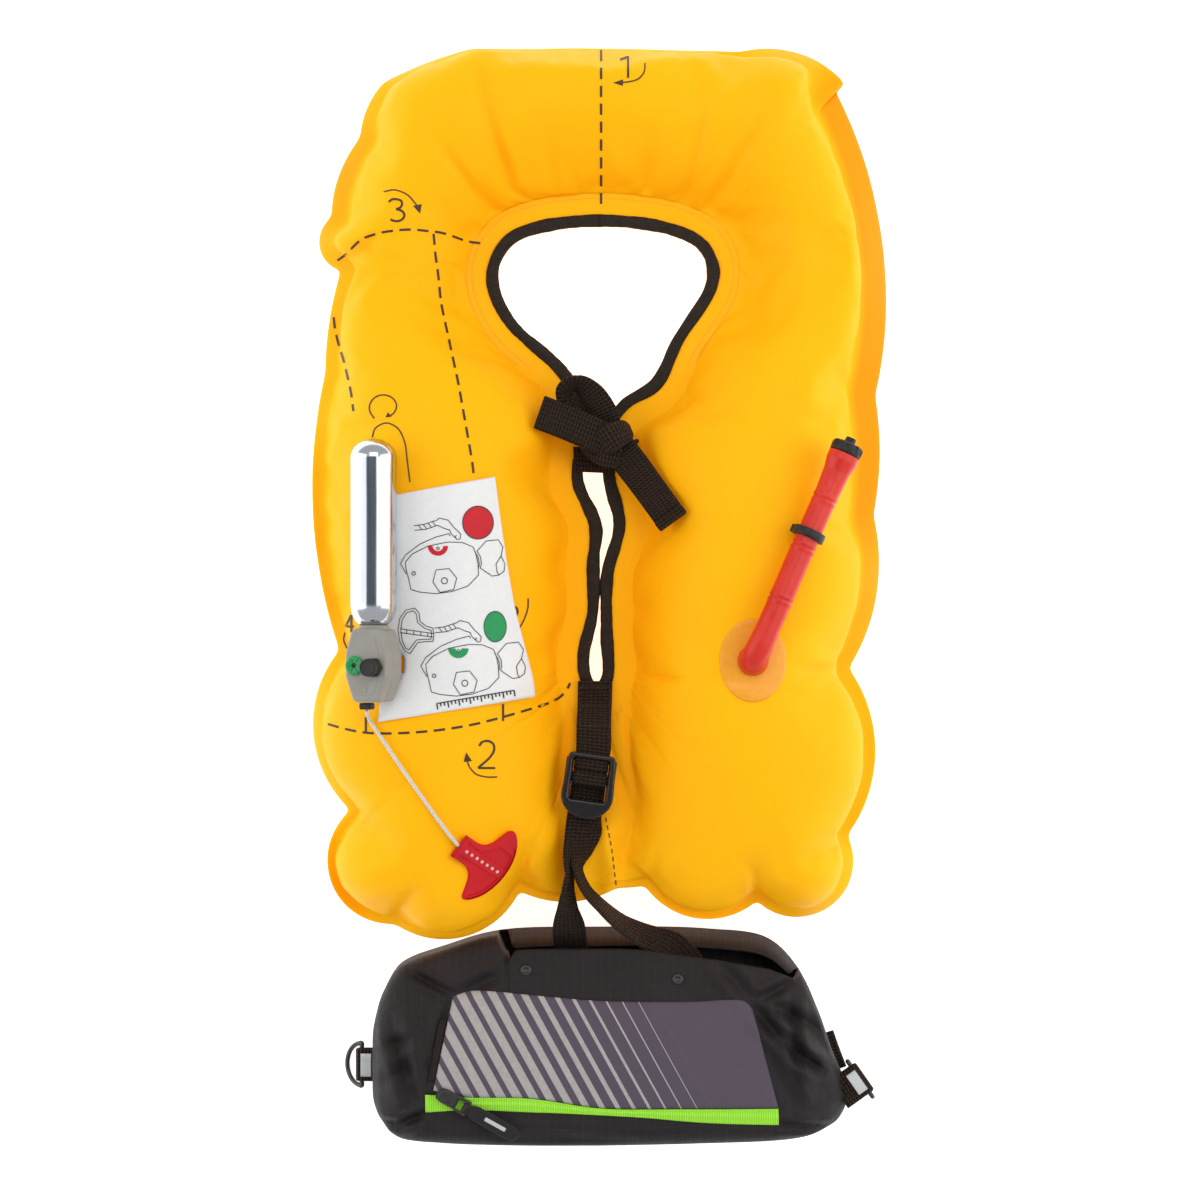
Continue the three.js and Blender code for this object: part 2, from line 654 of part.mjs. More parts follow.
// Folded tape round the neck and the slit, gripping the flange in its slot
function makeBinding() {
  const line = neckLine(TAPE_STEPS);
  const half = TAPE_WIDTH / 2;
  const slot = TAPE_HALF - TAPE_WALL;
  const bed = -half + TAPE_SLOT;
  const profile = [
    [-half, -TAPE_HALF], [half, -TAPE_HALF], [half, TAPE_HALF], [-half, TAPE_HALF],
    [-half, slot], [bed, slot], [bed, -slot], [-half, -slot],
  ];
  const sections = line.map((p, i) => {
    const after = line[(i + 1) % line.length];
    const tangent = vec(0, 0).subVectors(after, line.at(i - 1)).normalize();
    const toHole = vec(tangent.y, -tangent.x);
    return profile.map(([a, b]) => vec(p.x + a * toHole.x, p.y + a * toHole.y, seamHeight(p.y) + b));
  });
  return loft(sections, true);
}

addMesh(vest, 'neck_binding', makeBinding(), 0x17140f, 0.8);

// Half bow over the slit: a standing loop, two tails, the wrap over the knot and its core
function makeTie() {
  const loop = ribbon([
    { x: 4, y: 92, z: 70, across: 0, tip: 50, width: 17 },
    { x: -1, y: 111, z: 76, across: 40, tip: 50, width: 17 },
    { x: -11, y: 120, z: 77, across: 95, tip: 48, width: 17 },
    { x: -21, y: 115.5, z: 75, across: 165, tip: 48, width: 17 },
    { x: -16, y: 105, z: 70, across: 230, tip: 48, width: 17 },
    { x: -3, y: 94, z: 67, across: 260, tip: 40, width: 17 },
  ], WEBBING_THICK);
  const leftTail = ribbon(overLobes([
    { x: 9, y: 84, z: 74, across: 70 },
    { x: -6, y: 91, z: 82, across: 70 },
    { x: -20, y: 97, z: 86, across: 70 },
    { x: -33.5, y: 102, z: 88, across: 71 },
  ]), WEBBING_THICK);
  const rightTail = ribbon(overLobes([
    { x: 4, y: 90, z: 74, across: 36, tip: 8 },
    { x: 16, y: 75, z: 78, across: 36, tip: 14 },
    { x: 27, y: 60, z: 84, across: 36, tip: 22 },
    { x: 37.5, y: 45, z: 90, across: 36, tip: 22 },
  ]), WEBBING_THICK);
  const wrap = ribbon([
    { x: -9, y: 79, z: 60, across: 124, width: 16 },
    { x: -4, y: 83, z: 73, across: 124, width: 17 },
    { x: 6, y: 89, z: 81, across: 124, width: 18 },
    { x: 14, y: 94, z: 74, across: 124, width: 17 },
    { x: 15, y: 95, z: 63, across: 124, width: 15 },
  ], 2 * WEBBING_THICK);
  const crosspiece = ribbon([
    { x: -15, y: 77, z: SEAM_Z + TAPE_HALF + GAP + 1, across: 92, width: 14 },
    { x: 8, y: 76, z: SEAM_Z + TAPE_HALF + GAP + 1, across: 92, width: 14 },
  ], 2);
  const core = new THREE.SphereGeometry(1, 12, 8).scale(13, 13.5, 12.6).translate(5, 86.5, 70);
  return geometryOf(joined([loop, leftTail, rightTail, wrap, crosspiece, core]));
}

addMesh(vest, 'neck_tie', makeTie(), 0x1b1712, 0.8);

// Strap adjuster at the foot of the slit, turned a little; u runs across it and v up the vest
const lockTurn = radians(LOCK.turn);
const lockPlace = (v, z, more = {}) => ({
  x: LOCK.x - v * Math.sin(lockTurn),
  y: LOCK.y + v * Math.cos(lockTurn),
  z,
  across: LOCK.turn,
  ...more,
});

function makeLadderLock() {
  const half = LOCK.width / 2;
  const shape = new THREE.Shape();
  shape.moveTo(-half, LOCK.top);
  shape.lineTo(half, LOCK.top);
  shape.lineTo(half, LOCK.lip + 3);
  shape.bezierCurveTo(half, LOCK.bottom + 3, half / 2, LOCK.bottom, 0, LOCK.bottom);
  shape.bezierCurveTo(-half / 2, LOCK.bottom, -half, LOCK.bottom + 3, -half, LOCK.lip + 3);
  const slotHalf = WEBBING / 2 + 1;
  for (const [low, high] of [[LOCK.barTop, LOCK.fixedBar], [LOCK.lip, LOCK.barLow]]) {
    const slot = new THREE.Path();
    slot.moveTo(-slotHalf, low);
    slot.lineTo(slotHalf, low);
    slot.lineTo(slotHalf, high);
    slot.lineTo(-slotHalf, high);
    shape.holes.push(slot);
  }
  return new THREE.ExtrudeGeometry(shape, { depth: LOCK.thick, bevelEnabled: false, curveSegments: 5 });
}

const lock = addMesh(vest, 'ladder_lock', makeLadderLock(), 0x141310, 0.35);
lock.position.set(LOCK.x, LOCK.y, LOCK.z);
lock.rotation.z = lockTurn;

// Doubled webbing from the foot of the slit round the adjuster's fixed bar
function makeTab() {
  const foot = SEAM_Z + TAPE_HALF + GAP + WEBBING_THICK / 2;
  const over = LOCK.z + LOCK.thick + 1.35;
  const under = LOCK.z - 1.35;
  const inSlot = LOCK.fixedBar - 1.3;
  return ribbon([
    { x: -3, y: -46, z: foot, across: 0 },
    { x: -3.2, y: -57, z: foot + 0.4, across: 0 },
    { x: -3.8, y: -72, z: over - 1.2, across: -4 },
    lockPlace(LOCK.top, over),
    lockPlace(LOCK.fixedBar + 0.8, over + 0.1),
    lockPlace(inSlot, over - 0.6),
    lockPlace(inSlot - 0.1, LOCK.z + LOCK.thick / 2),
    lockPlace(inSlot, under + 0.6),
    lockPlace(LOCK.fixedBar + 0.8, under - 0.1),
    lockPlace(LOCK.top + 4, under - 0.5),
    { x: -3.6, y: -68, z: foot + 0.4 - WEBBING_THICK - GAP / 2, across: -2 },
  ], WEBBING_THICK);
}

addMesh(vest, 'tab_strap', makeTab(), 0x1b1712, 0.8);

// One strap threaded over the adjuster's middle bar, with both legs running down into the pouch
function makeAdjusterStrap() {
  const over = LOCK.z + LOCK.thick + 1.7;
  const under = LOCK.z - 1.2;
  const lowest = under - WEBBING_THICK - GAP;
  const pouchFloor = POUCH_WALL + GAP + WEBBING_THICK / 2;
  const rightLeg = overLobes([
    { x: -8.2, y: -130, z: 59.6, across: 0, tip: -12 },
    { x: -7.5, y: -142, z: 64, across: 0, tip: -48 },
    { x: -8, y: -153, z: 68, across: 10, tip: -66 },
    { x: -2, y: -166, z: 70, across: 25, tip: -62 },
    { x: 10, y: -177, z: 58, across: 40, tip: -45 },
    { x: 24, y: -187, z: 43, across: 45, tip: -25 },
  ]);
  const leftLeg = overLobes([
    { x: -10.5, y: -133, z: 64, across: 0, tip: -22 },
    { x: -13.5, y: -142, z: 70, across: 0, tip: -50 },
    { x: -16, y: -153, z: 72, across: 0, tip: -68 },
    { x: -17, y: -165, z: 70, across: 0, tip: -60 },
    { x: -18.5, y: -178, z: 59, across: 0, tip: -30 },
  ]);
  return ribbon([
    { x: 58, y: -246, z: pouchFloor, across: 0 },
    { x: 57, y: -226, z: 8, across: 10 },
    { x: 50, y: -208, z: 17, across: 30 },
    { x: 38, y: -196, z: 30, across: 45, tip: -10 },
    ...rightLeg.reverse(),
    lockPlace(LOCK.bottom + 2, lowest),
    lockPlace(LOCK.barLow - 1, lowest + 0.1),
    lockPlace(LOCK.barTop + 0.4, lowest + 0.7),
    lockPlace(LOCK.barTop + 1.6, LOCK.z),
    lockPlace(LOCK.barTop + 1.6, LOCK.z + LOCK.thick - 0.6),
    lockPlace(LOCK.barTop + 0.5, over),
    lockPlace(LOCK.barLow - 0.5, over),
    lockPlace(LOCK.barLow - 1.6, LOCK.z + LOCK.thick - 0.6),
    lockPlace(LOCK.barLow - 1.8, LOCK.z + 1),
    lockPlace(LOCK.barLow - 3.6, under + 0.1),
    lockPlace(LOCK.lip, under),
    lockPlace(LOCK.bottom + 1, under),
    ...leftLeg,
    { x: -17, y: -191, z: 40, across: 0 },
    { x: -14, y: -207, z: 22, across: 0 },
    { x: -12, y: -226, z: 9, across: 0 },
    { x: -12, y: -246, z: pouchFloor, across: 0 },
  ], WEBBING_THICK);
}

addMesh(vest, 'adjuster_strap', makeAdjusterStrap(), 0x1b1712, 0.8);

// Mouth tube: an elbow on the right lobe and a straight run to its valve cap
const tubeFoot = highestNear(lobe, TUBE_ROUTE[0].x, TUBE_ROUTE[0].y, TUBE_FLARE);
const tubePath = new THREE.CatmullRomCurve3(
  TUBE_ROUTE.map((p) => vec(p.x, p.y, tubeFoot + p.rise)), false, 'centripetal',
);

function tubeSkin(radiusAt, from, to) {
  const steps = TUBE_STEPS;
  const frames = tubePath.computeFrenetFrames(steps, false);
  const sections = [];
  for (let i = 0; i <= steps; i += 1) {
    const part = i / steps;
    const stretch = i === 0 ? from : i === steps ? to : 0;
    const middle = tubePath.getPointAt(part).addScaledVector(frames.tangents[i], stretch);
    const ring = [];
    for (let k = 0; k < TUBE_SIDES; k += 1) {
      const angle = 2 * Math.PI * k / TUBE_SIDES;
      ring.push(middle.clone()
        .addScaledVector(frames.normals[i], radiusAt(part) * Math.cos(angle))
        .addScaledVector(frames.binormals[i], radiusAt(part) * Math.sin(angle)));
    }
    sections.push(ring);
  }
  return loft(sections);
}

function tubeRadius(part) {
  const row = TUBE_WIDTHS.findIndex((w) => w.part >= part);
  if (row <= 0) return TUBE_WIDTHS[0].radius;
  const before = TUBE_WIDTHS[row - 1];
  const after = TUBE_WIDTHS[row];
  return lerp(before.radius, after.radius, (part - before.part) / (after.part - before.part));
}

const tubeOuter = solidOf(tubeSkin(tubeRadius, 0, 0));
const tubeBore = solidOf(tubeSkin(() => TUBE_BORE, -1, 1));
addMesh(vest, 'oral_tube', geometryOf(tubeOuter.subtract(tubeBore)), 0xd2151b, 0.35);

// Piece turned on the tube's own axis at a part of its length
function onTube(mesh, part, push) {
  const tangent = tubePath.getTangentAt(part);
  mesh.position.copy(tubePath.getPointAt(part)).addScaledVector(tangent, push);
  mesh.quaternion.setFromUnitVectors(vec(0, 1), tangent);
}

const capProfile = [[0, 0], [8.7, 0], [8.9, 4.6], [7.6, 6], [3.3, 6], [3, 9.4], [0, 9.8]];
onTube(addMesh(vest, 'tube_cap', lathe(capProfile, 12), 0x17140f, 0.5), 1, GAP);

const clipInner = TUBE_RADIUS + 0.75;
const clipProfile = [
  [clipInner, -2.4], [clipInner + 1.7, -2.4], [clipInner + 1.7, 2.4], [clipInner, 2.4], [clipInner, -2.4],
];
onTube(addMesh(vest, 'tube_clip', lathe(clipProfile, 14), 0x17140f, 0.5), CLIP_PART, 0);

function ellipse(x, y, radiusX, radiusY) {
  return new THREE.EllipseCurve(x, y, radiusX, radiusY).getPoints(PATCH.points).slice(1);
}

function makePatch() {
  const { x, y } = TUBE_ROUTE[0];
  const { radiusX, radiusY } = PATCH;
  const corners = [
    { x: x - radiusX - 1, y: y - radiusY - 1 }, { x: x + radiusX + 1, y: y - radiusY - 1 },
    { x: x + radiusX + 1, y: y + radiusY + 1 }, { x: x - radiusX - 1, y: y + radiusY + 1 },
  ];
  const sheet = solidOf(laidSheet(lobe, corners, 4, 4, PATCH.thick, 6));
  const rim = solidOf(prism(ellipse(x, y, radiusX, radiusY), SEAM_Z, 3 * SEAM_Z));
  const hole = solidOf(prism(ellipse(x, y, TUBE_FLARE + 1.2, TUBE_FLARE + 1.2), SEAM_Z, 3 * SEAM_Z));
  return geometryOf(sheet.intersect(rim).subtract(hole));
}

addMesh(vest, 'tube_patch', makePatch(), 0xf08a10, 0.4);

// Inflator: its own frame stands on its back plate, z out of the lobe and y up the vest
const inflator = new THREE.Group();
inflator.rotation.y = BODY_LEAN;

// Height of the back plate at which the body and the cylinder both clear the lobe
function inflatorHeight() {
  const spots = [vec(-11, 6), vec(11, 6), vec(11, -6), vec(8, -20), vec(8, 20)];
  for (let y = 30; y <= CYLINDER_TOP; y += 6) {
    for (let angle = -1.2; angle <= 1.2; angle += 0.2) {
      const sag = CYLINDER_RADIUS * Math.cos(angle);
      spots.push(vec(CYLINDER_RADIUS * Math.sin(angle), y, BODY_DEPTH / 2 - sag));
    }
  }
  const turn = new THREE.Matrix4().makeRotationY(BODY_LEAN);
  return Math.max(...spots.map((spot) => {
    const at = spot.applyMatrix4(turn);
    return highestNear(lobe, INFLATOR.x + at.x, INFLATOR.y + at.y, 1.5) - at.z;
  })) + CARD_THICK + TAG_ROOM;
}

inflator.position.set(INFLATOR.x, INFLATOR.y, inflatorHeight());
inflator.updateMatrixWorld(true);
vest.add(inflator);

function makeInflatorBody() {
  const outline = [
    [-8.5, 20], [8.5, 20], [12.4, 7], [12.4, -6], [7.6, -20], [-7.6, -20], [-12.4, -6], [-12.4, 7],
  ];
  const shape = new THREE.Shape(outline.map(([x, y]) => new THREE.Vector2(x * 0.9, y * 0.93)));
  const bevel = 1.4;
  const block = new THREE.ExtrudeGeometry(shape, {
    depth: BODY_DEPTH - 2 * bevel, bevelThickness: bevel, bevelSize: bevel, bevelSegments: 1,
  }).translate(0, 0, bevel);
  const socketRadius = CYLINDER_NECK + GAP;
  const socket = new THREE.CylinderGeometry(socketRadius, socketRadius, 20, 12);
  socket.translate(0, NECK_END - GAP + 10, BODY_DEPTH / 2);
  return geometryOf(solidOf(block).subtract(solidOf(socket)));
}

addMesh(inflator, 'inflator_body', makeInflatorBody(), 0x8d8a84, 0.55);

function makeCylinder() {
  const dome = CYLINDER_RADIUS * 0.85;
  const profile = [[0, NECK_END], [CYLINDER_NECK, NECK_END], [CYLINDER_NECK, SHOULDER_LOW]];
  for (const turn of [0.3, 0.6, 0.85, 1]) {
    const radius = lerp(CYLINDER_NECK, CYLINDER_RADIUS, Math.sin(turn * Math.PI / 2));
    profile.push([radius, lerp(SHOULDER_LOW, SHOULDER_TOP, 1 - Math.cos(turn * Math.PI / 2))]);
  }
  for (const angle of [0, 0.45, 0.9, 1.25]) {
    profile.push([CYLINDER_RADIUS * Math.cos(angle), CYLINDER_TOP - dome + dome * Math.sin(angle)]);
  }
  profile.push([0, CYLINDER_TOP]);
  return lathe(profile, 14).translate(0, 0, BODY_DEPTH / 2);
}

addMesh(inflator, 'co2_cylinder', makeCylinder(), 0xb9c0c4, 0.3, 0.9);

const indicatorProfile = [[1.1, 0], [5, 0], [5, 1], [4.6, 1.4], [1.1, 1.4], [1.1, 0]];
const indicator = lathe(indicatorProfile, 12).rotateX(Math.PI / 2);
addMesh(inflator, 'arming_indicator', indicator, 0x119a48, 0.4).position.set(-6.2, 0, BODY_DEPTH + GAP);

function makeInflatorCap() {
  const base = new THREE.CylinderGeometry(5.6, 5.6, 3.4, 6).translate(0, 1.7, 0);
  const barrel = new THREE.CylinderGeometry(4.5, 4.9, 9.4, 14).translate(0, 4.7, 0);
  return geometryOf(joined([base, barrel])).rotateX(Math.PI / 2);
}

addMesh(inflator, 'inflator_cap', makeInflatorCap(), 0x1c1a18, 0.5).position.set(5, -1, BODY_DEPTH + GAP);

const lever = new THREE.BoxGeometry(7, 3.6, 6);
const leverMiddle = vec(-4, -21.8 - GAP, BODY_DEPTH / 2);
addMesh(inflator, 'inflator_lever', lever, 0x2a2825, 0.5).position.copy(leverMiddle);

// Stem and nut under the body, their foot cut to the lobe that they are welded to
function makeStem() {
  const nut = new THREE.CylinderGeometry(STEM_NUT, STEM_NUT, 3, 6).translate(0, -1.5, 0);
  const stem = new THREE.CylinderGeometry(STEM_RADIUS, STEM_RADIUS, SEAM_Z, 14).translate(0, -SEAM_Z / 2, 0);
  const turned = geometryOf(joined([nut, stem])).rotateX(Math.PI / 2).translate(0, 0, -GAP);
  const placed = solidOf(turned.applyMatrix4(inflator.matrixWorld));
  return geometryOf(placed.subtract(bladderOuter.translate([0, 0, 2 * GAP])));
}

addMesh(vest, 'inflator_stem', makeStem(), 0x1c1a18, 0.5);

// Card hung on the stem through a slot that opens at its lower edge
function makeTag() {
  const stemFoot = vec(0, 0, -10).applyMatrix4(inflator.matrixWorld);
  const slotHalf = STEM_RADIUS + 1.5;
  const slot = [];
  for (let i = 0; i <= 10; i += 1) {
    const angle = Math.PI * i / 10;
    slot.push({ x: stemFoot.x + slotHalf * Math.cos(angle), y: stemFoot.y + slotHalf * Math.sin(angle) });
  }
  const below = stemFoot.y - SEAM_Z;
  slot.push({ x: stemFoot.x - slotHalf, y: below }, { x: stemFoot.x + slotHalf, y: below });
  const card = solidOf(laidSheet(lobe, TAG_CORNERS, 7, 9, CARD_THICK, 9));
  return geometryOf(card.subtract(solidOf(prism(slot, 0, 4 * SEAM_Z))));
}

addMesh(vest, 'instruction_tag', makeTag(), 0xf3f2ee, 0.6);

// Pull handle lying on the left lobe, level with the slope under it
const handleAxis = vec(Math.cos(HANDLE.turn), Math.sin(HANDLE.turn));
const handleSide = vec(-handleAxis.y, handleAxis.x);

function handleFrame() {
  const at = (s, w) => {
    const spot = vec(HANDLE.x, HANDLE.y).addScaledVector(handleAxis, s).addScaledVector(handleSide, w);
    spot.z = highestNear(lobe, spot.x, spot.y, 2);
    return spot;
  };
  const along = vec(0, 0).subVectors(at(34, 0), at(2, 0)).normalize();
  const over = vec(0, 0).subVectors(at(22, 18), at(22, -18)).normalize();
  const up = vec(0, 0).crossVectors(along, over).normalize();
  const across = vec(0, 0).crossVectors(up, along);
  const frame = new THREE.Matrix4().makeBasis(along, across, up);
  const spots = [
    [0, 0], [2, 6], [2, -6], [14, 0], [22, 20], [22, -20], [26, 0], [36, 0], [32, 12], [32, -12],
  ];
  const foot = at(0, 0);
  const lift = Math.max(...spots.map(([s, w]) => {
    const local = vec(s, w).applyMatrix4(frame).add(foot);
    return highestNear(lobe, local.x, local.y, 2) - local.z;
  }));
  return frame.setPosition(foot.x, foot.y, foot.z + lift + GAP);
}

function makeHandle() {
  const shape = new THREE.Shape();
  shape.moveTo(0, -7.1);
  shape.lineTo(0, 7.1);
  shape.lineTo(10, 7.1);
  shape.quadraticCurveTo(16, 7.6, 18.5, 13);
  shape.lineTo(21.5, 21.3);
  shape.quadraticCurveTo(23.5, 24.6, 27, 22.2);
  shape.bezierCurveTo(33.5, 17.5, 37, 9, 37, 0);
  shape.bezierCurveTo(37, -9, 33.5, -17.5, 27, -22.2);
  shape.quadraticCurveTo(23.5, -24.6, 21.5, -21.3);
  shape.lineTo(18.5, -13);
  shape.quadraticCurveTo(16, -7.6, 10, -7.1);
  return new THREE.ExtrudeGeometry(shape, { depth: HANDLE_THICK, bevelEnabled: false, curveSegments: 4 });
}

const handleMatrix = handleFrame();
addMesh(vest, 'pull_handle', makeHandle(), 0xc9141c, 0.4).applyMatrix4(handleMatrix);

// Cord from the lever under the body to the handle's stem
function makeCord() {
  const start = leverMiddle.clone().add(vec(0, -2.4 - GAP, 0)).applyMatrix4(inflator.matrixWorld);
  const end = vec(-GAP - 0.2, 0, HANDLE_THICK / 2).applyMatrix4(handleMatrix);
  const between = CORD_ROUTE.map(({ x, y }) => {
    return vec(x, y, highestNear(lobe, x, y, 4 * CORD_RADIUS) + CORD_RADIUS + 1.5);
  });
  const path = new THREE.CatmullRomCurve3([start, ...between, end], false, 'centripetal');
  const ring = new THREE.Shape(new THREE.EllipseCurve(0, 0, CORD_RADIUS, CORD_RADIUS).getPoints(8).slice(1));
  return new THREE.ExtrudeGeometry(ring, { steps: CORD_STEPS, extrudePath: path, bevelEnabled: false });
}

addMesh(vest, 'pull_cord', makeCord(), 0xf2f1ec, 0.8);

// Pouch: rounded sections along its length
function pouchAt(x) {
  const last = POUCH.length - 2;
  const row = THREE.MathUtils.clamp(POUCH.findLastIndex((r) => r.x <= x), 0, last);
  const a = POUCH[row];
  const b = POUCH[row + 1];
  const part = THREE.MathUtils.clamp((x - a.x) / (b.x - a.x), 0, 1);
  const mix = (key) => lerp(a[key], b[key], part);
  return { low: mix('low'), high: mix('high'), depth: mix('depth') };
}

function pouchSection(x, inset, past) {
  const { low, high, depth } = pouchAt(x);
  const round = Math.min(POUCH_ROUND, depth / 2.3, (high - low) / 2.3) - inset;
  const backRound = POUCH_BACK_ROUND - inset;
  const far = high - inset + past;
  const near = low + inset;
  const top = depth - inset;
  const arc = (y, z, radius, from) => [0, 1, 2].map((k) => {
    const angle = from + k * Math.PI / 4;
    return vec(x, y + radius * Math.cos(angle), z + radius * Math.sin(angle));
  });
  return [
    ...arc(far - backRound, inset + backRound, backRound, -Math.PI / 2),
    ...arc(far - round, top - round, round, 0),
    vec(x, (low + high) / 2, top + POUCH_CROWN),
    ...arc(near + round, top - round, round, Math.PI / 2),
    ...arc(near + backRound, inset + backRound, backRound, Math.PI),
  ];
}

const pouchLoft = (places, inset, past) => solidOf(loft(places.map((x) => pouchSection(x, inset, past))));
const pouchPlaces = POUCH.map((row) => row.x);
const pouchOuter = pouchLoft(pouchPlaces, 0, 0);

function makePouch() {
  const inside = pouchPlaces.slice(1, -1);
  const hollow = [pouchPlaces[0] + POUCH_WALL, ...inside, pouchPlaces.at(-1) - POUCH_WALL];
  const mouth = [MOUTH_LEFT, ...inside.filter((x) => x > MOUTH_LEFT && x < MOUTH_RIGHT), MOUTH_RIGHT];
  const beyond = POUCH[0].high + 100;
  const corners = [MOUTH_FRONT.at(-1), MOUTH_FRONT[0]].map(({ x }) => ({ x, y: beyond }));
  const lowered = [...MOUTH_FRONT, ...corners];
  const frontCut = solidOf(prism(lowered, POUCH[0].depth * 0.8, 3 * POUCH[0].depth));
  return geometryOf(pouchOuter
    .subtract(pouchLoft(hollow, POUCH_WALL, 0))
    .subtract(pouchLoft(mouth, POUCH_WALL, 40))
    .subtract(frontCut));
}

const pouch = addMesh(vest, 'pouch_shell', makePouch(), 0x211f20, 0.75);
const pouchTop = topOf(new THREE.Mesh(geometryOf(pouchOuter), pouch.material));

// Covers sewn on the pouch's front
for (const cover of COVERS) {
  const sheet = laidSheet(pouchTop, cover.corners, cover.columns, cover.rows, CLOTH_PANEL, COVER_MARGIN);
  addMesh(vest, cover.name, sheet, cover.color, cover.roughness);
}

const eyeletProfile = [[1.1, 0], [3.1, 0], [2.6, 0.9], [1.5, 0.9], [1.1, 0]];
for (const { name, x, y } of EYELETS) {
  const eyelet = addMesh(vest, name, lathe(eyeletProfile, 8).rotateX(Math.PI / 2), 0x16140f, 0.4, 0.5);
  eyelet.position.set(x, y, highestNear(pouchTop, x, y, 3) + GAP);
}

// Zip slider and the pull that swings on its pin; x runs along the pull from the pin
const zipTop = highestNear(pouchTop, ZIP.x, ZIP.y, 2 * COVER_MARGIN) + GAP + CLOTH_PANEL;
const zipFrame = new THREE.Group();
zipFrame.position.set(ZIP.x, ZIP.y, zipTop + GAP + ZIP.pinHeight);
zipFrame.rotation.z = radians(ZIP.turn);
vest.add(zipFrame);

const boxBetween = (low, high) => new THREE.BoxGeometry(high.x - low.x, high.y - low.y, high.z - low.z)
  .translate((low.x + high.x) / 2, (low.y + high.y) / 2, (low.z + high.z) / 2);

function makeSlider() {
  const base = -ZIP.pinHeight;
  const ear = ZIP.barrel / 2 + GAP;
  const plate = boxBetween(vec(-18, -4.2, base), vec(-5.5, 4.2, 1.4));
  const pin = new THREE.CylinderGeometry(ZIP.pin, ZIP.pin, 2 * ear + 2, 10);
  const ears = [-1, 1].map((side) => {
    const edges = [side * ear, side * (ear + 1.5)].sort((a, b) => a - b);
    return boxBetween(vec(-7, edges[0], base), vec(1.5, edges[1], 1.4));
  });
  return geometryOf(joined([plate, pin, ...ears]));
}

function makePull() {
  const ring = new THREE.CylinderGeometry(ZIP.barrelOuter, ZIP.barrelOuter, ZIP.barrel, 14);
  const bore = new THREE.CylinderGeometry(ZIP.pin + GAP, ZIP.pin + GAP, 2 * ZIP.barrel, 14);
  const shape = new THREE.Shape();
  const half = ZIP.pullWidth / 2;
  shape.moveTo(1, -ZIP.barrel / 2);
  shape.lineTo(6, -half);
  shape.lineTo(ZIP.pullLength - 2, -half);
  shape.quadraticCurveTo(ZIP.pullLength, -half, ZIP.pullLength, 0);
  shape.quadraticCurveTo(ZIP.pullLength, half, ZIP.pullLength - 2, half);
  shape.lineTo(6, half);
  shape.lineTo(1, ZIP.barrel / 2);
  const plate = new THREE.ExtrudeGeometry(shape, {
    depth: ZIP.pullThick, bevelEnabled: false, curveSegments: 3,
  }).translate(0, 0, -ZIP.pullThick / 2);
  return geometryOf(joined([ring, plate]).subtract(solidOf(bore)));
}

addMesh(zipFrame, 'zip_slider', makeSlider(), 0x1a1917, 0.4, 0.4);
addMesh(zipFrame, 'zip_pull', makePull(), 0x1a1917, 0.5);

// Wire ring: a straight bar along y and a half oval bow towards -x
function makeRing() {
  const middle = [];
  for (let i = 0; i <= RING_STEPS; i += 1) {
    const angle = Math.PI * i / RING_STEPS;
    middle.push(vec(-RING_REACH * Math.sin(angle), RING_HALF * Math.cos(angle)));
  }
  for (const part of [-0.6, 0, 0.6]) middle.push(vec(0, part * RING_HALF));
  const sections = middle.map((p, i) => {
    const after = middle[(i + 1) % middle.length];
    const tangent = vec(0, 0).subVectors(after, middle.at(i - 1)).normalize();
    const side = vec(tangent.y, -tangent.x);
    return Array.from({ length: RING_SIDES }, (_, k) => {
      const angle = 2 * Math.PI * k / RING_SIDES;
      return p.clone()
        .addScaledVector(side, RING_WIRE * Math.cos(angle))
        .add(vec(0, 0, RING_WIRE * Math.sin(angle)));
    });
  });
  return loft(sections, true);
}

// Piece cut a gap short of the pouch on every side that it can meet it
function clearOfPouch(geometry) {
  const shifts = [[GAP, 0, 0], [-GAP, 0, 0], [0, GAP, 0], [0, -GAP, 0], [0, 0, GAP]];
  return shifts.reduce((left, shift) => left.subtract(pouchOuter.translate(shift)), solidOf(geometry));
}

// Ring, the webbing loop that holds it and the reflective patch on the loop, at one pouch end
function addRingEnd(end) {
  const out = vec(Math.cos(radians(end.heading)), Math.sin(radians(end.heading)));
  const loop = WEBBING_THICK / 2 + RING_WIRE + GAP + 0.1;
  const row = (s, rise, width = RING_TAB) => ({
    x: end.x + s * out.x, y: end.y + s * out.y, z: end.z + rise, across: end.heading - 90, width,
  });
  const turns = [90, 45, 0, -45, -90].map(radians);
  const strap = ribbon([
    row(-end.root, loop + 1.2),
    row(-5, loop + 0.5),
    ...turns.map((turn) => row(loop * Math.cos(turn), loop * Math.sin(turn))),
    row(-5, -loop - 0.3),
    row(-end.root, -loop - 0.6),
  ], WEBBING_THICK);
  addMesh(vest, `ring_tab_${end.side}`, geometryOf(clearOfPouch(strap)), 0x1b1712, 0.8);
  const patchRise = loop + WEBBING_THICK / 2 + GAP + 0.3;
  const patch = ribbon([row(-5.6, patchRise + 0.6, 13), row(0.4, patchRise + 0.1, 13)], 0.6);
  addMesh(vest, `reflector_${end.side}`, patch, 0xc4c6c8, 0.35, 0.3);
  const hinge = new THREE.Group();
  hinge.position.set(end.x, end.y, end.z);
  hinge.rotation.z = radians(end.heading - 180);
  vest.add(hinge);
  addMesh(hinge, `d_ring_${end.side}`, makeRing(), 0x1c1b19, 0.35, 0.6).rotation.y = -end.dip;
}

const restingDip = Math.asin((RING_LEFT.z - RING_WIRE - 0.1) / RING_REACH);
addRingEnd({ side: 'left', ...RING_LEFT, dip: restingDip });
addRingEnd({ side: 'right', ...RING_RIGHT, dip: Math.PI / 2 });

